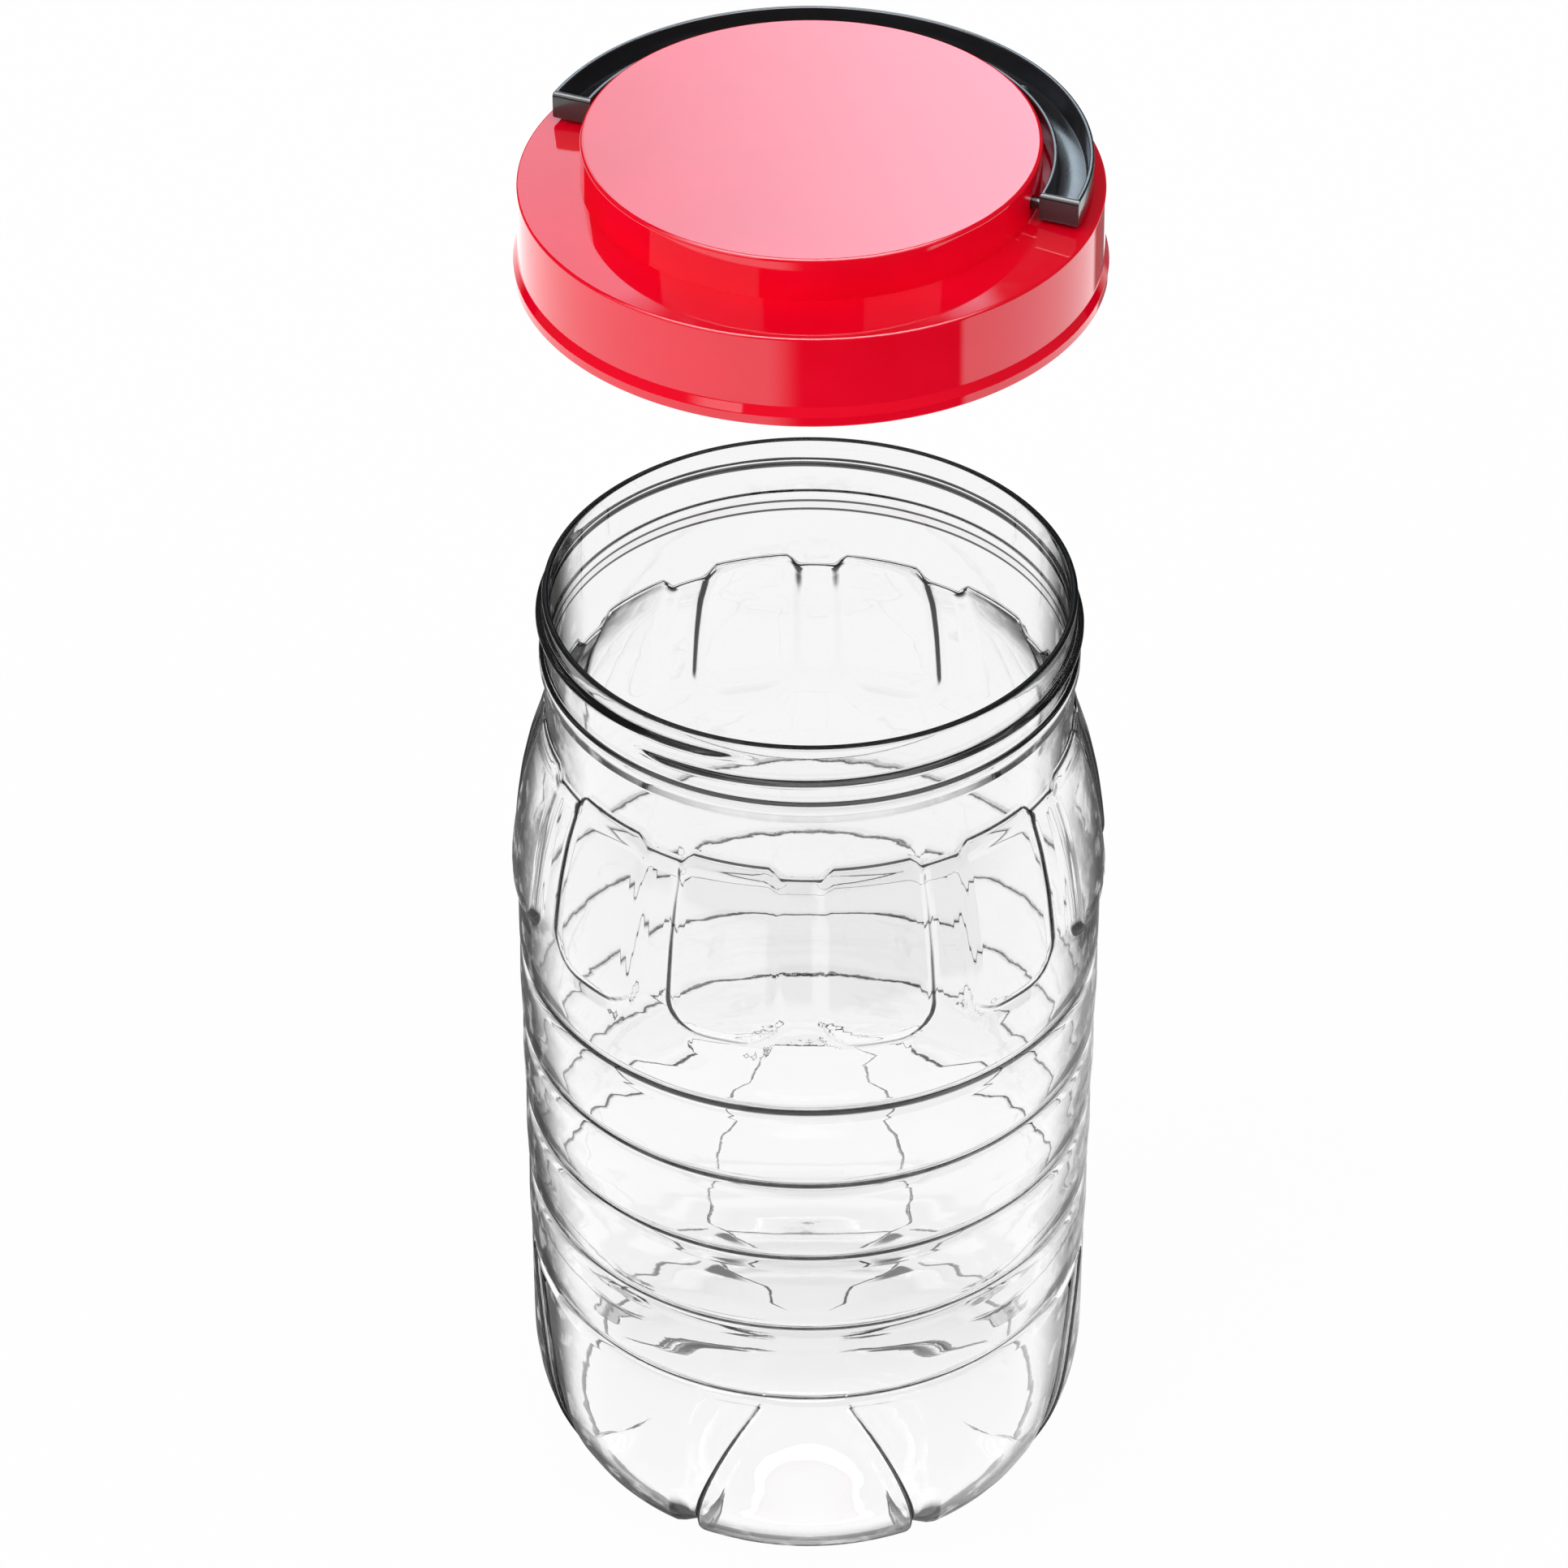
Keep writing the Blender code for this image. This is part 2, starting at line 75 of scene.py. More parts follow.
# %% [markdown]
# ## Maths on node sockets
#
# Geometry Nodes and materials both work with numbers that flow from socket to socket. A small class wraps such a
# number, so that a sum written in Python adds its Math node. One method adds every other kind of node.


# %% A number in a node tree
def operator(operation, turned=False):
    """A method that adds one Math node. A turned one takes the other number first."""

    def method(self, *others):
        return self.tree.math(operation, *((*others, self) if turned else (self, *others)))

    return method


class Value:
    """A number or colour that flows through a node tree. Maths written on it adds Math nodes."""

    def __init__(self, tree, socket):
        self.tree = tree
        self.socket = socket

    __add__ = __radd__ = operator("ADD")
    __sub__, __rsub__ = operator("SUBTRACT"), operator("SUBTRACT", True)
    __mul__ = __rmul__ = operator("MULTIPLY")
    __truediv__, __rtruediv__ = operator("DIVIDE"), operator("DIVIDE", True)
    __pow__, __abs__ = operator("POWER"), operator("ABSOLUTE")
    at_least, at_most = operator("MAXIMUM"), operator("MINIMUM")

    def eased(self, low, high):
        """0 below low, 1 above high and a smooth rise between them. With low above high it falls instead."""
        sockets = {"Value": self, "From Min": low, "From Max": high}
        return self.tree.add("ShaderNodeMapRange", sockets, {"interpolation_type": "SMOOTHSTEP"})

    def zone(self, low, high, amount):
        """0 below low and the amount above high, or the other way round with low above high."""
        return self.eased(low, high) * amount

    def between(self, low, high, edge):
        """1 between low and high and 0 outside, with smooth edges just inside them."""
        return self.eased(low, low + edge) * self.eased(high, high - edge)

    def output(self, name):
        """Another output of the node that made this value."""
        return Value(self.tree, self.socket.node.outputs[name])


# %% A node tree that grows by one method
class Tree:
    """Adds nodes to one tree."""

    def __init__(self, tree):
        self.tree = tree
        tree.nodes.clear()

    def add(self, kind, sockets=None, settings=None, output=0):
        """Adds a node with values or links for its sockets, and with settings. Returns one output."""
        node = self.tree.nodes.new(kind)
        for name, setting in (settings or {}).items():
            setattr(node, name, setting)
        for name, value in (sockets or {}).items():
            if isinstance(value, Value):
                self.tree.links.new(value.socket, node.inputs[name])
            else:
                node.inputs[name].default_value = value
        return Value(self, node.outputs[output]) if len(node.outputs) else node

    def math(self, operation, *values):
        return self.add("ShaderNodeMath", dict(enumerate(values)), {"operation": operation})

    def place(self, kind="Object"):
        """Where a point is, fixed to the piece."""
        return self.add("ShaderNodeTexCoord", output=kind)

    def parts(self, vector):
        """The x, y and z of a vector."""
        split = self.add("ShaderNodeSeparateXYZ", {0: vector})
        return split, split.output("Y"), split.output("Z")

    def mixed(self, share, first, second):
        """A colour between two colours. Sockets 6 and 7 and output 2 are the Mix node's colour ones."""
        return self.add("ShaderNodeMix", {0: share, 6: first, 7: second}, {"data_type": "RGBA"}, 2)


# %% [markdown]
# ## Finishes
#
# All four pieces are plastics, so one function makes the shader and each finish sets what differs. A moulded surface
# is never quite even: slow noise changes its gloss, and a low bump gives reflections their slightly wavy edges.


# %% One shader for every plastic
def dressed(block, output, shader):
    """Gives a material or a world its node tree, which the shader function fills."""
    block.use_nodes = True
    tree = Tree(block.node_tree)
    tree.add(output, {"Surface": shader(tree)})
    return block


def new_material(shader):
    """A material with the name of its shader function."""
    return dressed(bpy.data.materials.new(shader.__name__), "ShaderNodeOutputMaterial", shader)


def noise(tree, size, detail=2.0):
    """Noise whose spots are about as large as size, in metres, fixed to the piece."""
    return tree.add("ShaderNodeTexNoise", {"Vector": tree.place(), "Scale": 1 / size, "Detail": detail})


def bump(tree, height, depth):
    """A bumped normal: depth is the height of the relief, in metres."""
    return tree.add("ShaderNodeBump", {"Height": height, "Distance": depth})


def plastic(tree, color, roughness, normal, **constants):
    """One Principled shader. The constants are sockets that stay the same all over the piece."""
    sockets = {"Base Color": color, "Roughness": roughness, "Normal": normal}
    sockets.update({name.replace("_", " "): value for name, value in constants.items()})
    return tree.add("ShaderNodeBsdfPrincipled", sockets)


# %% [markdown]
# ### Clear plastic
#
# The jar is blown from clear PET, which bends light a little more than glass. Against a white ground such a jar is
# drawn by its edges: where the wall turns away from the eye, it stops letting the white through and goes dark. Here
# that darkness is painted shade: a near-black shader is mixed into the clear one where Layer Weight finds those
# places. Painted shade also draws lines wherever the relief turns the wall sideways or upwards. They are fainter on
# the far wall, which is seen through the near one, and the painted shade is lighter low down on the lit side.

# %% How dark the painted shade lines on the clear wall are
CLEAR_IOR = 1.57
CLEAR_TINT = (0.997, 0.997, 0.997, 1)
GREY_TINT = (0.93, 0.93, 0.93, 1)
FAR_SHARE = 0.75

# Painted shade lines as (start, full, darkness), over how far the wall turns away from the eye or out of its plain
# round form
EDGE_SHADE_LINES = (0.56, 0.80, 0.88)
SIDE_SHADE_LINES = (0.018, 0.042, 0.90)
STEEP_SHADE_LINES = (0.58, 0.72, 0.90)

# Zones as (start, full) or (start, full, change), over the height or over the distance from the axis
PANEL_SIDES = (0.070, 0.090, 0.25)
FOOT_CORNERS = (0.014, 0.002, 0.25)
BOTTOM_SIDES = (0.061, 0.056, 0.6)
LOW_RIBS = (0.160, 0.060, 0.24)
NECK_RINGS = (jar_high - 0.0390, jar_high - 0.0340)
NECK_BACK, NECK_FRONT = 0.4, 0.2
ABOVE_HEEL = (0.032, 0.040)
LIT_SIDE = (0.015, 0.070, 0.35)
LIT_HEIGHTS = (0.200, 0.140)
GREY_HEIGHTS = (0.055, 0.085)
FAR_BODY = (0.185, 0.165)
FAR_ABOVE_FEET = (0.040, 0.062, 0.20)


def steepness(tree):
    """How far the relief turns the wall sideways and upwards: 0 on the plain round wall, 1 square to it.

    The third number is 1 on the near wall and less on the far wall, whose painted shade lines look fainter. The
    second number also holds a band of painted shade along the ring the jar stands on.
    """
    turned_x, turned_y, turned_up = tree.parts(tree.add("ShaderNodeNewGeometry", output="Normal"))
    x, y, height = tree.parts(tree.place())
    radius = (x * x + y * y) ** 0.5
    sideways = abs(turned_y * x - turned_x * y) / radius.at_least(0.001)
    sideways = sideways * (1 - height.zone(*PANEL_SIDES) - height.zone(*FOOT_CORNERS) + radius.zone(*BOTTOM_SIDES))
    this_side = (turned_x * x + turned_y * y).eased(-0.001, 0.001)
    on_neck = height.eased(*NECK_RINGS)
    near = FAR_SHARE + this_side.at_least(on_neck) * (1 - FAR_SHARE)
    upwards = abs(turned_up) * height.eased(*ABOVE_HEEL) * (0.4 + 0.6 * near) * (1 - height.zone(*LOW_RIBS))
    upwards = upwards * (1 + on_neck * (NECK_BACK + this_side * (NECK_FRONT - NECK_BACK)))
    # Painted shade: a dark band along the ring the jar stands on, just above the floor.
    standing_ring_shade = height.eased(0.0014, 0.0008) * radius.between(0.0638, 0.0658, 0.0005)
    return sideways, upwards.at_least(standing_ring_shade), near


# %% Clear plastic for the jar, with painted shade mixed in
def clear_plastic_with_painted_shade(tree):
    slow = noise(tree, 0.030)
    roughness = 0.006 + slow.zone(0.45, 0.75, 0.02)
    normal = bump(tree, noise(tree, 0.018) + noise(tree, 0.0026, 3.0) * 0.03, 0.00012)
    x, _, height = tree.parts(tree.place())
    # The wall turns a little grey from about 55 to 85 mm up, more in some slow clouds than in others.
    tint = tree.mixed(height.eased(*GREY_HEIGHTS) * (0.6 + 0.8 * slow), CLEAR_TINT, GREY_TINT)
    clear = plastic(tree, tint, roughness, normal, Transmission_Weight=1.0, IOR=CLEAR_IOR)
    # A near-black shader that is mixed in as painted shade on the clear wall.
    dark = plastic(tree, (0.012, 0.012, 0.012, 1), 0.3, normal, Specular_IOR_Level=0.0)
    facing = tree.add("ShaderNodeLayerWeight", {"Blend": 0.5}, output="Facing")
    sideways, upwards, near = steepness(tree)
    # Painted shade: its share grows where the wall turns away from the eye or the relief turns it, broken up by
    # noise.
    mottled_shade = 1 - noise(tree, 0.007, 3.0).zone(0.50, 0.66, 0.35)
    edge = facing.zone(*EDGE_SHADE_LINES) * mottled_shade
    edge = edge.at_least((facing ** 3 * sideways * near).zone(*SIDE_SHADE_LINES))
    edge = edge.at_least(sideways.at_least(upwards).zone(*STEEP_SHADE_LINES))
    # Painted light: the painted shade is lighter low down on the lit side, towards +X.
    edge = edge * (1 - x.zone(*LIT_SIDE) * height.eased(*LIT_HEIGHTS))
    # The painted shade is fainter on the far wall, which is seen through the near one.
    fainter = height.eased(*FAR_BODY) * (0.45 + height.zone(*FAR_ABOVE_FEET))
    edge = edge * (1 - (1 - near) / (1 - FAR_SHARE) * fainter)
    return tree.add("ShaderNodeMixShader", {0: edge, 1: clear, 2: dark})


jar_plastic = new_material(clear_plastic_with_painted_shade)

# %% [markdown]
# ### Red, black and white plastic
#
# The cap is a deep red, very glossy moulding. The handle is black with a finer grain, and the liner is a soft white
# foam with tiny cells.


# %% Red plastic for the cap
def red_plastic(tree):
    color = tree.mixed(noise(tree, 0.025).eased(0.3, 0.7), (0.92, 0.0006, 0.017, 1), (0.97, 0.0012, 0.022, 1))
    roughness = 0.035 + noise(tree, 0.008, 4.0).zone(0.4, 0.8, 0.05)
    normal = bump(tree, noise(tree, 0.022, 1.0), 0.00004)
    shine = {"Specular_Tint": (0.5, 0.9, 1.0, 1), "Coat_Weight": 0.35, "Coat_Roughness": 0.02}
    return plastic(tree, color, roughness, normal, **shine)


cap_plastic = new_material(red_plastic)


# %% Black plastic for the handle
def black_plastic(tree):
    color = tree.mixed(noise(tree, 0.012), (0.014, 0.014, 0.016, 1), (0.022, 0.022, 0.024, 1))
    roughness = 0.14 + 0.14 * noise(tree, 0.004, 3.0)
    normal = bump(tree, noise(tree, 0.0006, 3.0), 0.00002)
    return plastic(tree, color, roughness, normal, IOR=1.55, Coat_Weight=0.5, Coat_Roughness=0.10)


handle_plastic = new_material(black_plastic)


# %% White foam for the liner
FOAM_CELLS = 1800.0


def white_foam(tree):
    cells = tree.add("ShaderNodeTexVoronoi", {"Vector": tree.place(), "Scale": FOAM_CELLS})
    color = tree.mixed(cells.eased(0.0, 0.6), (0.80, 0.80, 0.77, 1), (0.90, 0.90, 0.88, 1))
    roughness = 0.62 + 0.2 * noise(tree, 0.003)
    return plastic(tree, color, roughness, bump(tree, cells, 0.00008))


liner_foam = new_material(white_foam)
print("finishes:", [m.name for m in (jar_plastic, cap_plastic, handle_plastic, liner_foam)])

# %% [markdown]
# ## The jar as a turned skin
#
# A blow-moulded jar starts as a plain skin of revolution, and the mould presses its relief into it. The script works
# the same way. First it turns a plain outline, once outside and once inside by the wall's thickness. Later a node
# tree pushes the panels, ribs, feet and thread out of that skin.

# %% Sizes of the plain skin
RIM_RADIUS = 0.0700
NECK_WALL = 0.0018
BODY_WALL = 0.0010
RIM_ROUND = 0.0006
CREASE_HEIGHT = jar_high - 0.0387
PANEL_FOOT = CREASE_HEIGHT - 0.0518
PANEL_STEP = 0.00165
WEB_DROP = 0.0035
SWELL = ((0.0, 0.0), (0.0035, 0.00165), (0.0145, 0.0053), (0.0257, 0.0078), (0.0370, 0.0094), (0.0450, 0.0102))
BODY_TOP_RADIUS = 0.0788
BODY_LOW_RADIUS = 0.0781
LOWEST_RIB = 0.0652
RIB_PITCH = 0.0259
RIB_COUNT = 5
TOP_RIB = LOWEST_RIB + RIB_PITCH * (RIB_COUNT - 1)
HEEL_TOP = 0.0340

# The heel, the flat of the feet and the bottom, as (radius, height)
BASE = (
    (BODY_LOW_RADIUS, HEEL_TOP), (0.0780, 0.0290), (0.0776, 0.0245), (0.0769, 0.0200), (0.0755, 0.0148),
    (0.07345, 0.0098), (0.0712, 0.0053), (0.0696, 0.0023), (0.0682, 0.0007), (0.0664, 0.0), (0.0640, 0.0),
    (0.0617, 0.0), (0.0596, 0.0003), (0.0560, 0.0015), (0.0457, 0.0054), (0.0330, 0.0085), (0.0210, 0.0106),
    (0.0100, 0.0117), (0.0, 0.0120),
)
print(f"crease at {CREASE_HEIGHT:.4f}, panels down to {PANEL_FOOT:.4f}, top rib at {TOP_RIB:.4f}")


# %% The radius of the plain wall
def swell(drop):
    """How far the panels stand out of the neck's radius, at a drop below the crease."""
    drops, outs = zip(*SWELL)
    fine = np.linspace(0, drops[-1], 200)
    straight = np.interp(fine, drops, outs)
    window = np.ones(31) / 31
    soft = np.convolve(np.pad(straight, 15, "edge"), window, "valid")
    kept = np.clip((fine - drops[1]) / drops[2], 0, 1)
    return np.interp(drop, fine, straight + (soft - straight) * kept)


def wall_radius(height):
    """The turned wall between the rim and the heel, without its relief."""
    height = np.asarray(height, float)
    shoulder = RIM_RADIUS + np.maximum(swell(CREASE_HEIGHT - height) - PANEL_STEP, 0)
    share = np.clip((height - LOWEST_RIB) / (TOP_RIB - LOWEST_RIB), 0, 1)
    body = BODY_LOW_RADIUS + (BODY_TOP_RADIUS - BODY_LOW_RADIUS) * share
    blend = np.clip((PANEL_FOOT - height) / (PANEL_FOOT - TOP_RIB) * 2, 0, 1)
    return np.where(height >= PANEL_FOOT, shoulder, shoulder + (body - shoulder) * blend)


# %% [markdown]
# ### Rows and columns
#
# The skin is a grid. Rows lie close together where the relief is fine and further apart where the wall is plain.
# Columns crowd towards the edges of the twelve panels, and lower down towards the edges of the four wide feet.

# %% Rows of the skin
CREASE_LEDGE = 0.0007
RING_DROP = 0.0171
RING_PROUD = 0.0012
RING_FOOT = jar_high - RING_DROP - 0.0066
THREAD_TOP = 0.0022
THREAD_END = 0.0150
RIB_REACH = 0.0036
CORNER_REACH = 0.0110
NECK_CLEAR = 0.0010
UNDER_RIBS = LOWEST_RIB - 0.0043
POLE_RADIUS = 0.0012

# The support ring as (share of RING_PROUD, height over its foot): a sharp shoulder above and two small steps below
RING = (
    (0.0, 0.0066), (0.3, 0.0065), (0.75, 0.0061), (1.0, 0.0056), (1.0, 0.0031), (0.98, 0.00308), (0.52, 0.00262),
    (0.5, 0.0026), (0.5, 0.0006), (0.48, 0.00058), (0.02, 0.00012), (0.0, 0.0001),
)


def steps(start, end, step):
    """Heights from start towards end, without end, at about the given step."""
    count = max(1, round(abs(end - start) / step))
    return list(np.linspace(start, end, count, endpoint=False))


def rib_heights(fine):
    """Rows across each groove, close to its sharp middle, and some between the grooves."""
    over = (RIB_REACH, 0.0022, 0.0011, 0.0004, 0.00015) if fine else (RIB_REACH, 0.0014)
    across = [*over, 0.0, *(-step for step in reversed(over))]
    span = RIB_PITCH - 2 * RIB_REACH
    heights = []
    for rib in range(RIB_COUNT):
        middle = TOP_RIB - RIB_PITCH * rib
        heights += [middle + step for step in across]
        if rib < RIB_COUNT - 1:
            heights += steps(middle - RIB_REACH, middle - RIB_REACH - span, span / (5 if fine else 3))[1:]
    return heights


def shoulder_heights(fine):
    """Rows of the panels: close at the crease and over the rounded corners at their foot."""
    scale = 1.0 if fine else 1.9
    heights = [CREASE_HEIGHT + over for over in (NECK_CLEAR, 0.0003, 0.0001, -0.0001, -0.0003)]
    heights += steps(CREASE_HEIGHT - 0.0009, CREASE_HEIGHT - 0.0060, 0.0009 * scale)
    heights += steps(CREASE_HEIGHT - 0.0060, PANEL_FOOT + CORNER_REACH, 0.0020 * scale)
    heights += steps(PANEL_FOOT + CORNER_REACH, PANEL_FOOT - 0.0016, 0.00062 * scale)
    heights += steps(PANEL_FOOT - 0.0016, TOP_RIB + RIB_REACH, 0.0030 * scale)
    return heights


def base_rows(count):
    """The heel and the bottom, as a smooth curve through the points of BASE."""
    points = np.array(BASE)
    ends = np.vstack([2 * points[0] - points[1], points, 2 * points[-1] - points[-2]])
    rows = []
    for knot in np.linspace(0, len(points) - 1, count):
        index = min(int(knot), len(points) - 2)
        t = knot - index
        a, b, c, d = ends[index : index + 4]
        curve = 2 * b + (c - a) * t + (2 * a - 5 * b + 4 * c - d) * t**2 + (3 * b - a - 3 * c + d) * t**3
        rows.append((max(curve[0] / 2, 0.0), max(curve[1] / 2, 0.0)))
    return rows[:-1] + [(POLE_RADIUS, BASE[-1][1])]


# %% The plain outline, outside and inside
def rim_rows(middle, end):
    """The round of the rim, from its top to an angle."""
    angles = np.linspace(pi / 2, end, 4)
    return [(middle + RIM_ROUND * cos(a), jar_high - RIM_ROUND + RIM_ROUND * sin(a)) for a in angles]


def wall_rows(heights, ledge=0.0):
    """Rows of the plain wall. A ledge is a fine step at the crease that fades out below it."""
    drops = CREASE_HEIGHT - np.asarray(heights)
    step = ledge * np.clip((drops + 0.0003) / 0.0005, 0, 1) * np.clip(1 - drops / 0.0050, 0, 1)
    return list(zip(wall_radius(heights) + step, heights))


def outer_rows():
    drops = [0.0012, 0.0018, *steps(THREAD_TOP, THREAD_END, 0.00035), THREAD_END, RING_DROP - 0.0005]
    neck = [(RIM_RADIUS, jar_high - drop) for drop in drops]
    neck += [(RIM_RADIUS + RING_PROUD * out, RING_FOOT + up) for out, up in RING]
    neck += [(RIM_RADIUS, height) for height in steps(RING_FOOT - 0.0006, CREASE_HEIGHT + NECK_CLEAR, 0.0026)]
    wall = shoulder_heights(True) + rib_heights(True) + steps(UNDER_RIBS, HEEL_TOP, 0.0028)
    return rim_rows(RIM_RADIUS - RIM_ROUND, 0) + neck + wall_rows(wall, CREASE_LEDGE) + base_rows(40)


def inner_rows():
    """The same outline without thread and ring, moved in by the wall, square to the outline."""
    heights = steps(jar_high - 0.0040, CREASE_HEIGHT + NECK_CLEAR, 0.0060)
    heights += shoulder_heights(False) + rib_heights(False) + steps(UNDER_RIBS, HEEL_TOP, 0.0050)
    rows = np.array(wall_rows(heights) + base_rows(25))
    along = np.gradient(rows, axis=0)
    along /= np.linalg.norm(along, axis=1)[:, None]
    inwards = np.stack([along[:, 1], -along[:, 0]], axis=1)
    wall = NECK_WALL + (BODY_WALL - NECK_WALL) * np.clip((CREASE_HEIGHT - rows[:, 1]) / 0.012, 0, 1)
    rows = [tuple(row) for row in rows + inwards * wall[:, None]]
    return rim_rows(RIM_RADIUS - NECK_WALL + RIM_ROUND, pi) + rows[:-1] + [(POLE_RADIUS, rows[-1][1])]


print(f"rows: {len(outer_rows())} outside, {len(inner_rows())} inside")

# %% Columns of the skin
COLUMNS = 288
PANEL_COUNT = 12
FIRST_WEB = radians(-91.6)
PANEL_HALF = radians(10.9)
PANEL_TOP_HALF = radians(8.4)
WIDE_FEET = 4
FIRST_FOOT = radians(-90.5)
FOOT_TOP_ANGLE = radians(7.6)
FOOT_LOW_ANGLE = radians(26.0)
FOOT_CURVE = 0.53
FOOT_CORNER_ANGLE = radians(2.6)
FOOT_CORNER_HEIGHT = 0.0050


def crowded(azimuths, middle, sector, edge, width, pull=2.2):
    """Moves columns towards an edge that repeats on both sides of each sector's middle."""
    reach = np.linspace(-sector / 2, sector / 2, 2001)
    along = np.cumsum(1 + pull * np.exp(-(((np.abs(reach) - edge) / width) ** 2)))
    along = ((along - along[0]) / (along[-1] - along[0]) - 0.5) * sector
    turns = np.floor((azimuths - middle) / sector + 0.5)
    return middle + turns * sector + np.interp(azimuths - middle - turns * sector, along, reach)


def eased(value, low, high):
    share = np.clip((value - low) / (high - low), 0, 1)
    return share * share * (3 - 2 * share)


def foot_edge(height):
    """Half the angle that a wide foot takes, at a height."""
    rise = min(height / LOWEST_RIB, 1)
    narrower = (FOOT_LOW_ANGLE - FOOT_TOP_ANGLE) * rise * (1 - FOOT_CURVE + FOOT_CURVE * rise)
    return FOOT_LOW_ANGLE - narrower - FOOT_CORNER_ANGLE * max(1 - height / FOOT_CORNER_HEIGHT, 0) ** 2.5


def column_azimuths(height):
    even = FIRST_WEB + np.arange(COLUMNS) * tau / COLUMNS
    panel = crowded(even, FIRST_WEB, tau / PANEL_COUNT, pi / PANEL_COUNT - PANEL_HALF, radians(1.2))
    foot = crowded(even, FIRST_FOOT, tau / WIDE_FEET, foot_edge(height), radians(2.2), 6.0)
    to_panel = eased(height, PANEL_FOOT - 0.014, PANEL_FOOT - 0.003) * eased(height, jar_high, CREASE_HEIGHT + 0.004)
    to_foot = eased(height, LOWEST_RIB + 0.006, LOWEST_RIB - 0.003)
    return even + (panel - even) * to_panel + (foot - even) * to_foot


# %% [markdown]
# One row has to follow the scalloped crease under the neck, because a fold that cuts across a grid looks ragged. The
# rows near it are bent down at the webs by the same amount, less and less with the distance.


# %% The skin as one closed mesh
BEND_ABOVE = 0.008
BEND_BELOW = 0.016


def crease_drop(azimuths):
    pitch = tau / PANEL_COUNT
    away = np.abs((azimuths - FIRST_WEB) % pitch - pitch / 2)
    return WEB_DROP * eased(away, PANEL_TOP_HALF - radians(0.3), PANEL_HALF + radians(0.4))


def ring_points(radius, height):
    """One ring of the skin, bent down at the webs when it is near the crease."""
    azimuths = column_azimuths(height)
    over = height - CREASE_HEIGHT
    distance = over / BEND_ABOVE if over > 0 else -over / BEND_BELOW
    heights = height - crease_drop(azimuths) * max(0.0, 1 - distance)
    radii = radius + (wall_radius(heights) - wall_radius(height))
    return np.stack([radii * np.cos(azimuths), radii * np.sin(azimuths), heights], axis=1)


def closed_mesh(name, rings, first_pole, last_pole):
    """Quads between neighbouring rings and a fan at each end."""
    points = np.vstack(rings + [first_pole, last_pole])
    first, last = len(points) - 2, len(points) - 1
    end = (len(rings) - 1) * COLUMNS
    pairs = [(column, (column + 1) % COLUMNS) for column in range(COLUMNS)]
    faces = []
    for low in range(0, end, COLUMNS):
        high = low + COLUMNS
        faces += [(low + here, high + here, high + after, low + after) for here, after in pairs]
    for here, after in pairs:
        faces += [(first, here, after), (last, end + after, end + here)]
    mesh = bpy.data.meshes.new(name)
    mesh.from_pydata(points.tolist(), [], faces)
    mesh.validate()
    return mesh


def plain_jar():
    outer, inner = outer_rows(), inner_rows()
    rings = [ring_points(radius, height) for radius, height in inner[::-1] + outer]
    return closed_mesh("jar_skin", rings, (0, 0, inner[-1][1]), (0, 0, BASE[-1][1]))


jar_skin = plain_jar()
print("plain skin:", len(jar_skin.vertices), "points,", len(jar_skin.polygons), "faces")

# %% [markdown]
# ## The relief of the jar, by a node tree
#
# The relief follows a rule: it repeats round the jar and up the wall. A Geometry Nodes tree works out, for each point
# of the skin, how far the mould pushes it out or up. Its sizes are named inputs, so another jar of the family needs
# no new mesh code.

# %% Names and sizes of the tree's inputs
JAR_INPUTS = {
    "Rim height": jar_high,
    "Rim radius": RIM_RADIUS,
    "Neck wall": NECK_WALL,
    "Panels": float(PANEL_COUNT),
    "First web": FIRST_WEB,
    "Panel half angle": PANEL_HALF,
    "Panel top half angle": PANEL_TOP_HALF,
    "Panel foot": PANEL_FOOT,
    "Panel step": PANEL_STEP,
    "Panel corner": 0.0104,
    "Panel edge": 0.0044,
    "Crease height": CREASE_HEIGHT,
    "Crease slope": PANEL_STEP / WEB_DROP,
    "Ribs": float(RIB_COUNT),
    "Lowest rib": LOWEST_RIB,
    "Rib pitch": RIB_PITCH,
    "Rib half width": 0.0034,
    "Rib depth": 0.0013,
    "Fold half width": 0.0003,
    "Fold depth": 0.0003,
    "Top rib factor": 2.0,
    "Barrel bulge": 0.0003,
    "Wide feet": float(WIDE_FEET),
    "First foot": FIRST_FOOT,
    "Foot top angle": FOOT_TOP_ANGLE,
    "Foot low angle": FOOT_LOW_ANGLE,
    "Foot curve": FOOT_CURVE,
    "Foot corner angle": FOOT_CORNER_ANGLE,
    "Foot corner height": FOOT_CORNER_HEIGHT,
    "Next foot top angle": radians(34.7),
    "Next foot low angle": radians(32.0),
    "Valley step": radians(1.2),
    "Valley depth": 0.0013,
    "Valley rise": 0.0032,
    "Side groove angle": radians(97),
    "Side groove half width": 0.0026,
    "Side groove rise": 0.0016,
    "Thread start": radians(-102),
    "Thread drop": 0.0049,
    "Thread pitch": 0.00665,
    "Thread turns": 1.08,
    "Thread proud": 0.0018,
    "Thread half width": 0.0014,
    "Wave height": 0.00008,
}
print(len(JAR_INPUTS), "named inputs")


# %% Rules of the relief
def from_middle(azimuth, middle, count):
    """The angle between a point and the nearest of an even ring of middles."""
    turns = (azimuth - middle) * count / tau
    return abs(turns - turns.tree.math("ROUND", turns)) * tau / count


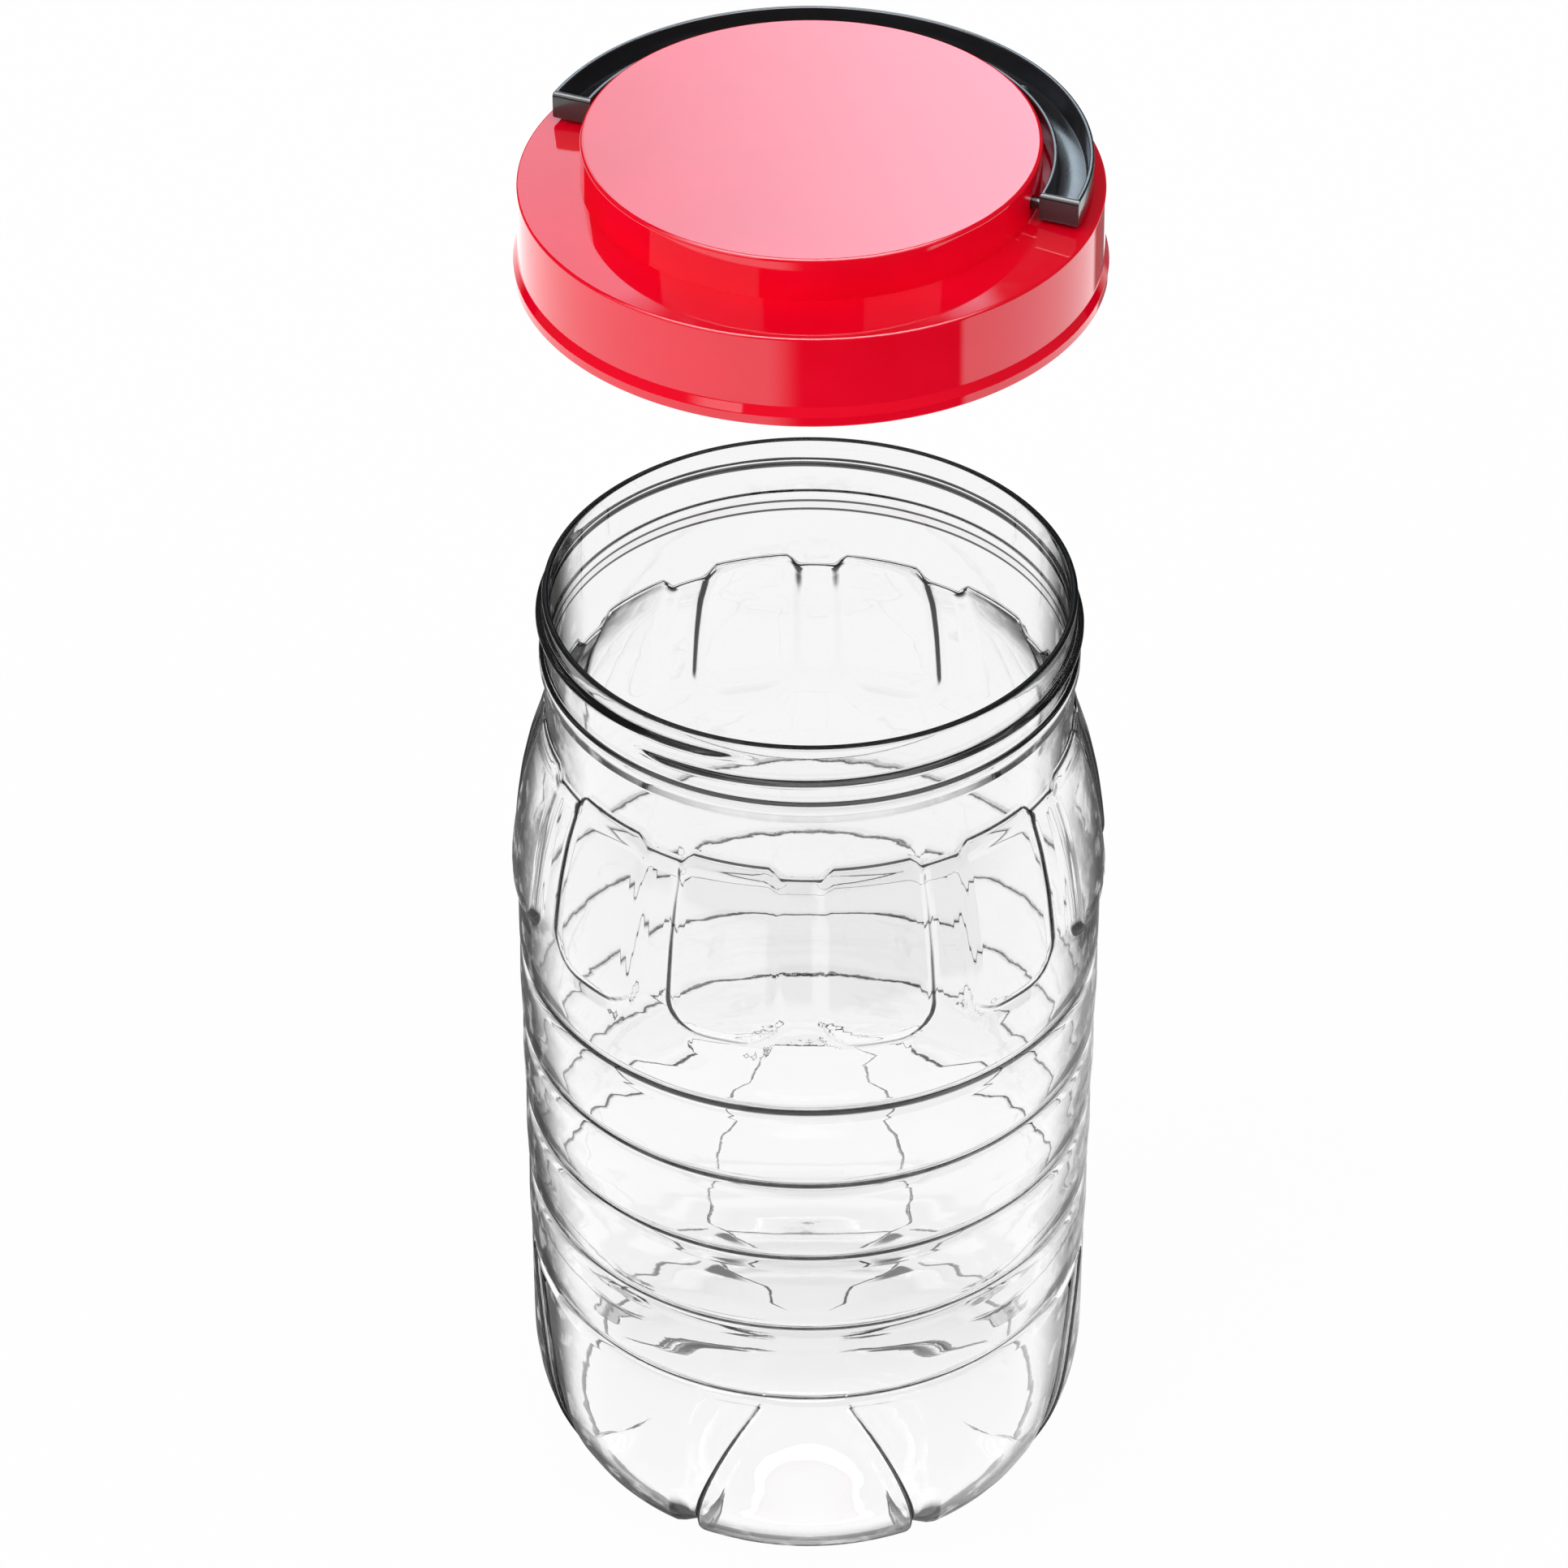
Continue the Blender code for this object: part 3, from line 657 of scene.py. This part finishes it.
def panel_relief(size, azimuth, height):
    """Rounded panels that grow out of the wall below the crease."""
    away = from_middle(azimuth, size.first_web + pi / size.panels, size.panels)
    crease = size.crease_height
    narrower = (size.panel_half_angle - size.panel_top_half_angle) * height.eased(crease - 0.005, crease)
    side = (size.panel_half_angle - narrower - away) * (size.rim_radius + 0.0095)
    corner = size.panel_corner
    beyond_side = corner - side
    beyond_foot = corner - (height - size.panel_foot)
    outside = (beyond_side.at_least(0) ** 2 + beyond_foot.at_least(0) ** 2) ** 0.5
    inside = beyond_side.at_least(beyond_foot).at_most(0)
    depth = ((crease - height) * size.crease_slope).at_most(size.panel_step).at_least(0)
    return (corner - outside - inside).eased(size.panel_edge * -0.5, size.panel_edge * 0.5) * depth


def rib_relief(size, height):
    """Grooves at a steady pitch, each with a narrow fold in its middle, and a slight barrel between them."""
    step = (height - size.lowest_rib) / size.rib_pitch
    last = size.ribs - 1
    nearest = step.tree.math("ROUND", step).at_least(0).at_most(last)
    away = abs(step - nearest) * size.rib_pitch
    factor = 1 + (size.top_rib_factor - 1) * nearest.tree.math("GREATER_THAN", nearest, last - 0.5)
    groove = (1 - away / size.rib_half_width).at_least(0) ** 2 * size.rib_depth
    fold = (1 - away / (size.fold_half_width * factor)).at_least(0) * size.fold_depth * factor
    between = abs(step - nearest).at_most(0.5) * 2
    inner = step.eased(-0.1, 0.0) * step.eased(last + 0.1, last)
    return between * between * inner * size.barrel_bulge - groove - fold


def valley_mask(size, azimuth, height):
    """How deep a valley is: a sharp step down beside a wide foot, and a gentle rise to the narrow foot."""
    away = from_middle(azimuth, size.first_foot, size.wide_feet)
    rise = height / size.lowest_rib
    narrower = (size.foot_low_angle - size.foot_top_angle) * rise * (1 - size.foot_curve * (1 - rise))
    corner = (1 - height / size.foot_corner_height).at_least(0) ** 2.5 * size.foot_corner_angle
    edge = size.foot_low_angle - narrower - corner
    next_edge = size.next_foot_low_angle + (size.next_foot_top_angle - size.next_foot_low_angle) * rise
    under_rib = height.eased(size.lowest_rib - 0.0016, size.lowest_rib - 0.0040)
    half = size.valley_step / 2
    return away.eased(edge - half, edge + half) * away.eased(next_edge, edge + half) * under_rib


def thread_relief(size, azimuth, height, radius):
    """One ridge that winds down clockwise, tapered at both ends, on the outside of the neck only."""
    tree = azimuth.tree
    run = tree.math("FLOORED_MODULO", size.thread_start - azimuth, tau) / tau
    ridge = 0.0
    for turn in (0, 1):
        wound = run + turn
        middle = size.rim_height - size.thread_drop - size.thread_pitch * wound
        across = abs(height - middle) / size.thread_half_width
        taper = wound.between(0.0, size.thread_turns, 0.03)
        ridge = (across.eased(1.0, 0.15) * taper).at_least(ridge)
    outer = tree.math("GREATER_THAN", radius, size.rim_radius - size.neck_wall / 2)
    return ridge * outer * size.thread_proud


# %% The tree that presses the relief
def new_tree(name, sizes):
    """A Geometry Nodes tree with named inputs. Returns the tree, its geometry and its sizes."""
    group = bpy.data.node_groups.new(name, "GeometryNodeTree")
    group.interface.new_socket("Geometry", in_out="OUTPUT", socket_type="NodeSocketGeometry")
    group.interface.new_socket("Geometry", in_out="INPUT", socket_type="NodeSocketGeometry")
    for label, number in sizes.items():
        group.interface.new_socket(label, in_out="INPUT", socket_type="NodeSocketFloat").default_value = number
    tree = Tree(group)
    start = tree.add("NodeGroupInput")
    named = {label.lower().replace(" ", "_"): start.output(label) for label in sizes}
    return tree, start, SimpleNamespace(**named)


def end_tree(tree, geometry, material):
    """Every tree ends the same way: real meshes with their material."""
    real = tree.add("GeometryNodeRealizeInstances", {"Geometry": geometry})
    dressed = tree.add("GeometryNodeSetMaterial", {"Geometry": real, "Material": material})
    tree.add("NodeGroupOutput", {"Geometry": dressed})


def bottom_grooves(size, azimuth, radius):
    """Where the valleys run on under the bottom, which is only at the back, and two grooves at the sides."""
    back = azimuth.tree.math("COSINE", azimuth - size.first_foot).eased(-0.5, -0.8)
    beside = from_middle(azimuth, size.first_foot + size.side_groove_angle, 1)
    beside = beside.at_most(from_middle(azimuth, size.first_foot - size.side_groove_angle, 1))
    groove = (beside * radius).eased(size.side_groove_half_width, 0.0) * radius.eased(0.010, 0.022)
    return back.at_least(radius.eased(0.050, 0.066)), groove * radius.eased(0.062, 0.050)


def jar_tree():
    tree, skin, size = new_tree("jar_relief", JAR_INPUTS)
    place = tree.add("GeometryNodeInputPosition")
    x, y, height = tree.parts(place)
    azimuth = tree.math("ARCTAN2", y, x)
    radius = (x * x + y * y) ** 0.5
    valley = valley_mask(size, azimuth, height)
    out = panel_relief(size, azimuth, height) + rib_relief(size, height)
    kept, groove = bottom_grooves(size, azimuth, radius)
    out = out - valley * size.valley_depth * radius.eased(0.050, 0.062)
    out = out + thread_relief(size, azimuth, height, radius)
    waves = tree.add("ShaderNodeTexNoise", {"Vector": place, "Scale": 28.0, "Detail": 1.0}) - 0.5
    out = out + waves * size.wave_height * height.eased(size.crease_height, size.crease_height - 0.01)
    up = valley * kept * size.valley_rise * (1 - height / 0.0115).at_least(0)
    up = up + groove * size.side_groove_rise * (1 - height.eased(0.0125, 0.0140))
    offset = tree.add("ShaderNodeCombineXYZ", {"X": x / radius * out, "Y": y / radius * out, "Z": up})
    pressed = tree.add("GeometryNodeSetPosition", {"Geometry": skin, "Offset": offset})
    end_tree(tree, pressed, jar_plastic)
    return tree.tree


# %% Press the relief and keep a plain mesh
def linked(name, data):
    """A new object in the scene."""
    thing = bpy.data.objects.new(name, data)
    bpy.context.scene.collection.objects.link(thing)
    return thing


def evaluated(maker, *helpers):
    """The mesh that the modifiers of an object give. The object and its helpers are removed."""
    bpy.context.view_layer.update()
    result = bpy.data.meshes.new_from_object(maker.evaluated_get(bpy.context.evaluated_depsgraph_get()))
    for thing in (maker, *helpers):
        bpy.data.objects.remove(thing)
    return result


def grown(mesh, group, sizes):
    """Runs a tree on a mesh, with its sizes set by the sockets' identifiers, and keeps the result as a mesh."""
    maker = linked("maker", mesh)
    modifier = maker.modifiers.new(group.name, "NODES")
    modifier.node_group = group
    for socket in group.interface.items_tree:
        if socket.in_out == "INPUT" and socket.name in sizes:
            modifier[socket.identifier] = sizes[socket.name]
    return evaluated(maker)


def add_piece(name, mesh, sharp):
    """A finished piece at the origin, shaded smooth, with edges over the sharp angle kept."""
    mesh.name = name
    mesh.shade_smooth()
    mesh.set_sharp_from_angle(angle=radians(sharp))
    print(name, len(mesh.vertices), "points")
    return linked(name, mesh)


clear_jar = add_piece("clear_jar", grown(jar_skin, jar_tree(), JAR_INPUTS), 75)
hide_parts("jar_body")
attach(clear_jar, "jar")

# %% [markdown]
# ## The cap
#
# The cap is a deep red disc with a raised round top, a flat ledge for the folded handle and a smooth skirt with a
# bead at its lip. It is turned from one outline with rounded corners, so each edge catches a thin line of light.

# %% Sizes of the cap
SKIRT_HEIGHT = 0.0250
CAP_TOP = cap_high - cap_low
CAP_INNER = 0.0724
SKIRT_RADIUS = 0.0734
LIP_RADIUS = 0.0746
TOP_RADIUS = 0.0572
LEDGE_WALL = 0.0013
LEDGE_FALL = 0.0008
TURN_STEPS = 192
ROD_STEPS = 32


# %% Rounded outlines and turned meshes
def rounded(corners, count=5, band=0.0):
    """An outline of (x, y, round): an arc of count points cuts each corner with a round.

    A band is a narrow face on both sides of each arc. It keeps the shading of the flats flat.
    """
    outline = []
    for index, (x, y, radius) in enumerate(corners):
        here = Vector((x, y))
        if not radius:
            outline.append((x, y))
            continue
        before = (Vector(corners[index - 1][:2]) - here).normalized()
        after = (Vector(corners[(index + 1) % len(corners)][:2]) - here).normalized()
        half = before.angle(after) / 2
        middle = here + (before + after).normalized() * radius / sin(half)
        start, end = here + before * radius / tan(half), here + after * radius / tan(half)
        outline += [tuple(start + before * band)] if band else []
        for step in range(count):
            toward = (start - middle).lerp(end - middle, step / (count - 1)).normalized()
            outline.append(tuple(middle + toward * radius))
        outline += [tuple(end + after * band)] if band else []
    return outline


def finished(shape, name, material):
    """The mesh of a working shape, with its material."""
    mesh = bpy.data.meshes.new(name)
    shape.to_mesh(mesh)
    shape.free()
    mesh.materials.append(material)
    return mesh


def spun(name, points, axis, count, material):
    """A closed solid of revolution from points whose two ends are on the axis."""
    shape = bmesh.new()
    corners = [shape.verts.new(point) for point in points]
    edges = [shape.edges.new(pair) for pair in zip(corners, corners[1:])]
    bmesh.ops.spin(shape, geom=corners + edges, cent=(0, 0, 0), axis=axis, angle=tau, steps=count)
    bmesh.ops.remove_doubles(shape, verts=shape.verts, dist=1e-6)
    bmesh.ops.recalc_face_normals(shape, faces=shape.faces)
    return finished(shape, name, material)


def turned(name, outline, material):
    """An outline of (radius, height) turned about the jar's axis."""
    points = [(radius, 0, height) for radius, height in outline]
    return spun(name, points, (0, 0, 1), TURN_STEPS, material)


# %% The outline of the cap
def cap_outline():
    """Over the top and down the skirt, round the lip, and back inside."""
    hollow = TOP_RADIUS - LEDGE_WALL
    corners = (
        (0, CAP_TOP, 0), (TOP_RADIUS, CAP_TOP, 0.0008), (TOP_RADIUS + 0.0002, SKIRT_HEIGHT, 0),
        (SKIRT_RADIUS - 0.0002, SKIRT_HEIGHT - LEDGE_FALL, 0.0006), (SKIRT_RADIUS, 0.0050, 0.0004),
        (LIP_RADIUS, 0.0027, 0.0004), (LIP_RADIUS, 0, 0.0004), (CAP_INNER, 0, 0.0003),
        (CAP_INNER, SKIRT_HEIGHT - LEDGE_WALL, 0.0005), (hollow, SKIRT_HEIGHT - LEDGE_WALL, 0.0004),
        (hollow, CAP_TOP - LEDGE_WALL, 0.0008), (0, CAP_TOP - LEDGE_WALL, 0),
    )
    return [(x, cap_low + y) for x, y in rounded(corners, band=0.0002)]


# %% [markdown]
# The pins of the handle sit in two holes through the wall of the raised top. They are cut by a Boolean with one long
# rod that lies on the pivot line.

# %% The pivot line
HANDLE_AZIMUTH = radians(68.5)
PIVOT_SETBACK = 0.0023
PIVOT_HEIGHT = (handle_low + handle_high) / 2
PIN_RADIUS = 0.0015
PIN_ROOM = 0.0003
HANDLE_TURN = Matrix.Rotation(HANDLE_AZIMUTH - pi / 2, 4, "Z")
pivot = HANDLE_TURN @ Vector((0, PIVOT_SETBACK, 0)) + Vector((0, 0, PIVOT_HEIGHT))
HANDLE_PLACE = Matrix.Translation(pivot) @ HANDLE_TURN
print("pivot at", [round(number, 4) for number in pivot])


# %% Rods and Booleans
def rod(name, radius, start, end, material, edge=0.0):
    """A round rod along the pivot line, from start to end, with a small round at both ends."""
    low, high = sorted((start, end))
    outline = rounded([(0, low, 0), (radius, low, edge), (radius, high, edge), (0, high, 0)], 4)
    mesh = spun(name, [(along, out, 0) for out, along in outline], (1, 0, 0), ROD_STEPS, material)
    mesh.transform(HANDLE_PLACE)
    return mesh


def combined(mesh, tools, operation):
    """The mesh with each tool cut out of it or joined to it."""
    maker = linked("maker", mesh)
    helpers = [linked(tool.name, tool) for tool in tools]
    for helper in helpers:
        modifier = maker.modifiers.new(helper.name, "BOOLEAN")
        modifier.operation, modifier.solver, modifier.object = operation, "EXACT", helper
    return evaluated(maker, *helpers)


hole = rod("pin_holes", PIN_RADIUS + PIN_ROOM, -TOP_RADIUS - 0.002, TOP_RADIUS + 0.002, cap_plastic)
cap_mesh = turned("cap", cap_outline(), cap_plastic)
red_cap = add_piece("red_cap", combined(cap_mesh, [hole], "DIFFERENCE"), 35)
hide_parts("lid")
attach(red_cap, "cap")

# %% [markdown]
# ### The thread inside the cap
#
# The cap holds on the neck by a ridge that runs just under the neck's own ridge when the jar is closed. It follows a
# helix, so a node tree sweeps a small round profile along a spiral and tapers it at both ends. Left to itself the
# spiral node climbs clockwise, which is a left-handed thread; Reverse makes it climb the way the neck's thread does.

# %% Sizes of the cap's thread
LIFT = -next(joint for joint in frame["joints"] if joint["name"] == "lid_lift")["range_m"][0]
THREAD_UNDER = 0.0026
CAP_THREAD_TURNS = 0.90
CAP_THREAD_END = CAP_THREAD_TURNS + 0.04
thread_top = jar_high - JAR_INPUTS["Thread drop"] - THREAD_UNDER + LIFT
CAP_THREAD_INPUTS = {
    "Turns": CAP_THREAD_TURNS,
    "Radius": CAP_INNER - 0.0001,
    "Pitch": JAR_INPUTS["Thread pitch"],
    "Bead radius": 0.0009,
    "Lowest height": thread_top - JAR_INPUTS["Thread pitch"] * CAP_THREAD_END,
    "Lowest azimuth": JAR_INPUTS["Thread start"] - tau * CAP_THREAD_END,
}
print("cap thread from", round(CAP_THREAD_INPUTS["Lowest height"] - cap_low, 4), "above the lip")


# %% Sweep the cap's thread
def cap_thread_tree():
    tree, _, size = new_tree("cap_thread", CAP_THREAD_INPUTS)
    sockets = {"Resolution": 160, "Rotations": size.turns, "Height": size.pitch * size.turns, "Reverse": True}
    spiral = tree.add("GeometryNodeCurveSpiral", {**sockets, "Start Radius": size.radius, "End Radius": size.radius})
    along = tree.add("GeometryNodeSplineParameter")
    taper = along.between(0.0, 1.0, 0.04) * 0.9 + 0.1
    profile = tree.add("GeometryNodeCurvePrimitiveCircle", {"Resolution": 16, "Radius": size.bead_radius})
    sockets = {"Curve": spiral, "Profile Curve": profile, "Scale": taper, "Fill Caps": True}
    bead = tree.add("GeometryNodeCurveToMesh", sockets)
    turn = tree.add("ShaderNodeCombineXYZ", {"Z": size.lowest_azimuth})
    lift = tree.add("ShaderNodeCombineXYZ", {"Z": size.lowest_height})
    placed = tree.add("GeometryNodeTransform", {"Geometry": bead, "Translation": lift, "Rotation": turn})
    end_tree(tree, placed, cap_plastic)
    return tree.tree


thread_mesh = grown(bpy.data.meshes.new("empty"), cap_thread_tree(), CAP_THREAD_INPUTS)
cap_thread = add_piece("cap_thread", thread_mesh, 40)
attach(cap_thread, "cap")

# %% [markdown]
# ## The sealing liner
#
# The liner is a plain disc that already has its right shape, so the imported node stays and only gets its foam.

# %% Dress the liner
liner = frame["nodes"]["sealing_liner"]
liner.data.materials.clear()
liner.data.materials.append(liner_foam)
print("liner slots:", len(liner.material_slots))

# %% [markdown]
# ## The carry handle
#
# The handle is a half ring with a U-shaped section, open upwards and closed by a wall at each end. A row of sections
# is swept round the arc. Near both ends the floor of the channel rises to the top, which leaves the end walls.

# %% Sizes of the handle
HANDLE_INNER = 0.0598
HANDLE_OUTER = 0.0700
HANDLE_HALF = (handle_high - handle_low) / 2
HANDLE_WALL = 0.0013
END_REACH = 0.0020
END_ROUND = 0.0011
HANDLE_ROWS = 96
ARC_POINTS = 4
HANDLE_MIDDLE = (HANDLE_INNER + HANDLE_OUTER) / 2

# How the channel's floor rises to the end walls, as (distance from the end in walls, share that is filled)
END_FILL = ((1, 1.0), (1.03, 0.96), (1.12, 0.12), (1.35, 0.03), (1.6, 0.0))


# %% The section and the rows of the handle
def handle_section():
    """The U as a closed outline of (radius, height), and which of its points belong to the channel."""
    low, high = -HANDLE_HALF, HANDLE_HALF
    near, far = HANDLE_INNER + HANDLE_WALL, HANDLE_OUTER - HANDLE_WALL
    corners = (
        (HANDLE_INNER, low, 0.0005), (HANDLE_OUTER, low, 0.0005),
        (HANDLE_OUTER, high, 0.0003), (far + 0.0001, high, 0.0003),
        (far - 0.0002, low + HANDLE_WALL, 0.0007), (near + 0.0002, low + HANDLE_WALL, 0.0007),
        (near - 0.0001, high, 0.0003), (HANDLE_INNER, high, 0.0003),
    )
    outline = rounded(corners, ARC_POINTS)
    return outline, [3 <= index // ARC_POINTS < 7 for index in range(len(outline))]


def end_rows(half_angle):
    """Angles from the middle, with the share by which the channel is filled and the round of the end."""
    rows = [(half_angle - END_ROUND / HANDLE_MIDDLE * (1 - cos(a)), 1.0, END_ROUND * (1 - sin(a)))
            for a in np.linspace(0, pi / 2, 5)]
    return rows + [(half_angle - HANDLE_WALL / HANDLE_MIDDLE * walls, fill, 0.0) for walls, fill in END_FILL]


def handle_rows():
    first = end_rows(pi / 2 + asin((END_REACH - PIVOT_SETBACK) / HANDLE_MIDDLE))
    middle = [(first[-1][0] * share, 0.0, 0.0) for share in np.linspace(1, -1, HANDLE_ROWS)[1:-1]]
    return first + middle + [(-angle, fill, cut) for angle, fill, cut in reversed(first)]


def handle_mesh():
    """Sections joined by quads, with a flat face at each end."""
    outline, channel = handle_section()
    shape = bmesh.new()
    rings = []
    for angle, fill, cut in handle_rows():
        ring = []
        for (radius, height), inside in zip(outline, channel):
            height = height + (HANDLE_HALF - height) * fill if inside else height
            height = max(-HANDLE_HALF + cut, min(HANDLE_HALF - cut, height))
            x, y = -radius * sin(angle), radius * cos(angle) - PIVOT_SETBACK
            ring.append(shape.verts.new(HANDLE_PLACE @ Vector((x, y, height))))
        rings.append(ring)
    for first, second in zip(rings, rings[1:]):
        for index in range(len(outline)):
            after = (index + 1) % len(outline)
            shape.faces.new((first[index], first[after], second[after], second[index]))
    shape.faces.new(rings[0])
    shape.faces.new(rings[-1])
    bmesh.ops.remove_doubles(shape, verts=shape.verts, dist=2e-6)
    bmesh.ops.dissolve_degenerate(shape, edges=shape.edges, dist=2e-6)
    bmesh.ops.recalc_face_normals(shape, faces=shape.faces)
    return finished(shape, "handle", handle_plastic)


# %% [markdown]
# Two half-round posts stand in the channel against its inner wall, and a pin at each end reaches into the cap.

# %% Posts and pins
POST_RADIUS = 0.0019
POST_AZIMUTH = radians(38.2)
POST_DROP = 0.0011
POST_FOOT = 0.0007
PIN_TIP = 0.0010


def post_mesh(side):
    """A post with a rounded top, half sunk in the channel's inner wall."""
    top, low = HANDLE_HALF - POST_DROP, POST_FOOT - HANDLE_HALF
    outline = ((0, top, 0), (POST_RADIUS, top, 0.0004), (POST_RADIUS, low, 0), (0, low, 0))
    mesh = turned("post", rounded(outline, ARC_POINTS), handle_plastic)
    azimuth = pi / 2 + side * POST_AZIMUTH
    radius = HANDLE_INNER + HANDLE_WALL
    away = Vector((radius * cos(azimuth), radius * sin(azimuth) - PIVOT_SETBACK, 0))
    mesh.transform(HANDLE_PLACE @ Matrix.Translation(away))
    return mesh


def handle_tools():
    """A post and a pin on each side."""
    tip, root = TOP_RADIUS - LEDGE_WALL - PIN_TIP, HANDLE_INNER + HANDLE_WALL / 2
    tools = []
    for side in (-1, 1):
        tools += [post_mesh(side), rod("pin", PIN_RADIUS, side * tip, side * root, handle_plastic, 0.0003)]
    return tools


black_handle = add_piece("black_handle", combined(handle_mesh(), handle_tools(), "UNION"), 40)
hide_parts("carry_handle")
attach(black_handle, "handle")

# %% [markdown]
# ## Camera
#
# The camera was fitted to the rim, the ribs and the cap of the photograph. It stands about 1.5 m away, looks down by
# 37 degrees and has a long lens, so the jar's sides stay nearly parallel.

# %% Camera
PHOTO_WIDTH = 1932
CAMERA_PLACE = Vector((0, -1.2528, jar_high + 0.8956))
CAMERA_PITCH = 0.654060
CAMERA_YAW = -0.0054
FOCAL_PIXELS = 7268

lens = bpy.data.cameras.new("camera")
lens.lens = FOCAL_PIXELS / PHOTO_WIDTH * lens.sensor_width
camera = linked("camera", lens)
view = Matrix.Rotation(-CAMERA_YAW, 4, "Z") @ Matrix.Rotation(pi / 2 - CAMERA_PITCH, 4, "X")
camera.matrix_world = Matrix.Translation(CAMERA_PLACE) @ view
bpy.context.scene.camera = camera
print(f"lens {lens.lens:.1f} mm")

# %% [markdown]
# ## Studio
#
# The ground is white for the camera and for what is seen through the clear wall. Gloss sees a floor that is dark
# away from the jar on the camera's side, which keeps the middle of the red skirt deep, and in a strip behind it.
# Soft boxes are bright patches of the sky: one behind the jar, where the flat tops mirror it, and two in front.

# %% The floor
FLOOR_RADIUS = 6.0
FLOOR_DROP = 0.0004
FLOOR_GLOW = 0.97

# What gloss sees: distances from the axis in metres, and angles from the camera's side in radians
MIRRORED_FADE = (2.6, 0.9, 1.5)
DARK_DISTANCE = (0.46, 0.52, 0.98)
DARK_LEFT = (-0.30, -0.04)
DARK_RIGHT = (1.04, 0.98)
DARK_STRIP = (2.40, 2.85, 0.10)
STRIP_SHARE = 0.9


def pale_floor(tree):
    rays = tree.add("ShaderNodeLightPath")
    passed = rays.output("Is Transmission Ray")
    glossy = rays.output("Is Glossy Ray") * (1 - passed)
    x, y, _ = tree.parts(tree.place())
    away = (x * x + y * y) ** 0.5
    turn = tree.math("ARCTAN2", x, 0 - y)
    dark = (turn.eased(*DARK_LEFT) * turn.eased(*DARK_RIGHT)).at_least(turn.between(*DARK_STRIP) * STRIP_SHARE)
    level = (1 - dark * away.zone(*DARK_DISTANCE)) * away.zone(*MIRRORED_FADE)
    color = tree.mixed(glossy, (1, 1, 1, 1), tree.add("ShaderNodeCombineColor", {0: level, 1: level, 2: level}))
    glow = tree.add("ShaderNodeEmission", {"Color": color})
    matt = tree.add("ShaderNodeBsdfDiffuse", {"Color": (0.90, 0.90, 0.90, 1)})
    share = (rays.at_least(passed) * FLOOR_GLOW).at_least(glossy)
    return tree.add("ShaderNodeMixShader", {0: share, 1: matt, 2: glow})


def add_floor():
    shape = bmesh.new()
    bmesh.ops.create_circle(shape, cap_ends=True, segments=96, radius=FLOOR_RADIUS)
    bmesh.ops.translate(shape, verts=shape.verts, vec=(0, 0, -FLOOR_DROP))
    return linked("floor", finished(shape, "floor", new_material(pale_floor)))


add_floor()

# %% The sky and its soft boxes
AMBIENT = 0.46
GLOSS_LESS = 0.38
OVERHEAD = (0.95, 1.15, 8.0)
SEEN_THROUGH = (radians(14), radians(6))
SEEN_DIM = 0.2
BOX_EDGE = radians(0.6)

# Soft boxes, in degrees: the middle and the height, then half the width and half the height
LEFT_BOX, LEFT_LEVEL = (215, 40, 30, 22), 2.2
RIGHT_BOX, RIGHT_LEVEL = (-40, 50, 22, 18), 1.6
BEHIND_BOX, BEHIND_LEVEL = (101.7, 28.2, 16.2, 9.2), 1.9
BEHIND_RAMP = (radians(96), radians(86), 2.9)
BEHIND_TINT = (0.80, 0.97, 1.12)


def soft_box(turn, rise, box, level):
    """A bright patch of the sky."""
    middle, height, half_width, half_height = map(radians, box)
    across = abs(turn.tree.math("WRAP", turn - middle, pi, -pi))
    across = across.eased(half_width + BOX_EDGE, half_width - BOX_EDGE)
    return across * abs(rise - height).eased(half_height + BOX_EDGE, half_height - BOX_EDGE) * level


def studio_sky(tree):
    rays = tree.add("ShaderNodeLightPath")
    x, y, z = tree.parts(tree.place("Generated"))
    turn = tree.math("ARCTAN2", y, x)
    rise = tree.math("ARCSINE", z)
    behind = soft_box(turn, rise, BEHIND_BOX, BEHIND_LEVEL + turn.zone(*BEHIND_RAMP))
    light = AMBIENT + rays.output("Is Glossy Ray") * (rise.zone(*OVERHEAD) - GLOSS_LESS)
    light = light + soft_box(turn, rise, LEFT_BOX, LEFT_LEVEL) + soft_box(turn, rise, RIGHT_BOX, RIGHT_LEVEL)
    through = rise.eased(*SEEN_THROUGH).at_least((light + behind).at_most(1.0) * SEEN_DIM)
    passed = rays.output("Is Transmission Ray")
    channels = {}
    for channel, tint in enumerate(BEHIND_TINT):
        level = light + behind * tint
        level = level + (through - level) * passed
        channels[channel] = level + (1 - level) * rays
    return tree.add("ShaderNodeBackground", {"Color": tree.add("ShaderNodeCombineColor", channels)})


bpy.context.scene.world = dressed(bpy.data.worlds.new("studio"), "ShaderNodeOutputWorld", studio_sky)
bpy.context.scene.view_settings.view_transform = "Standard"
print("studio is ready")
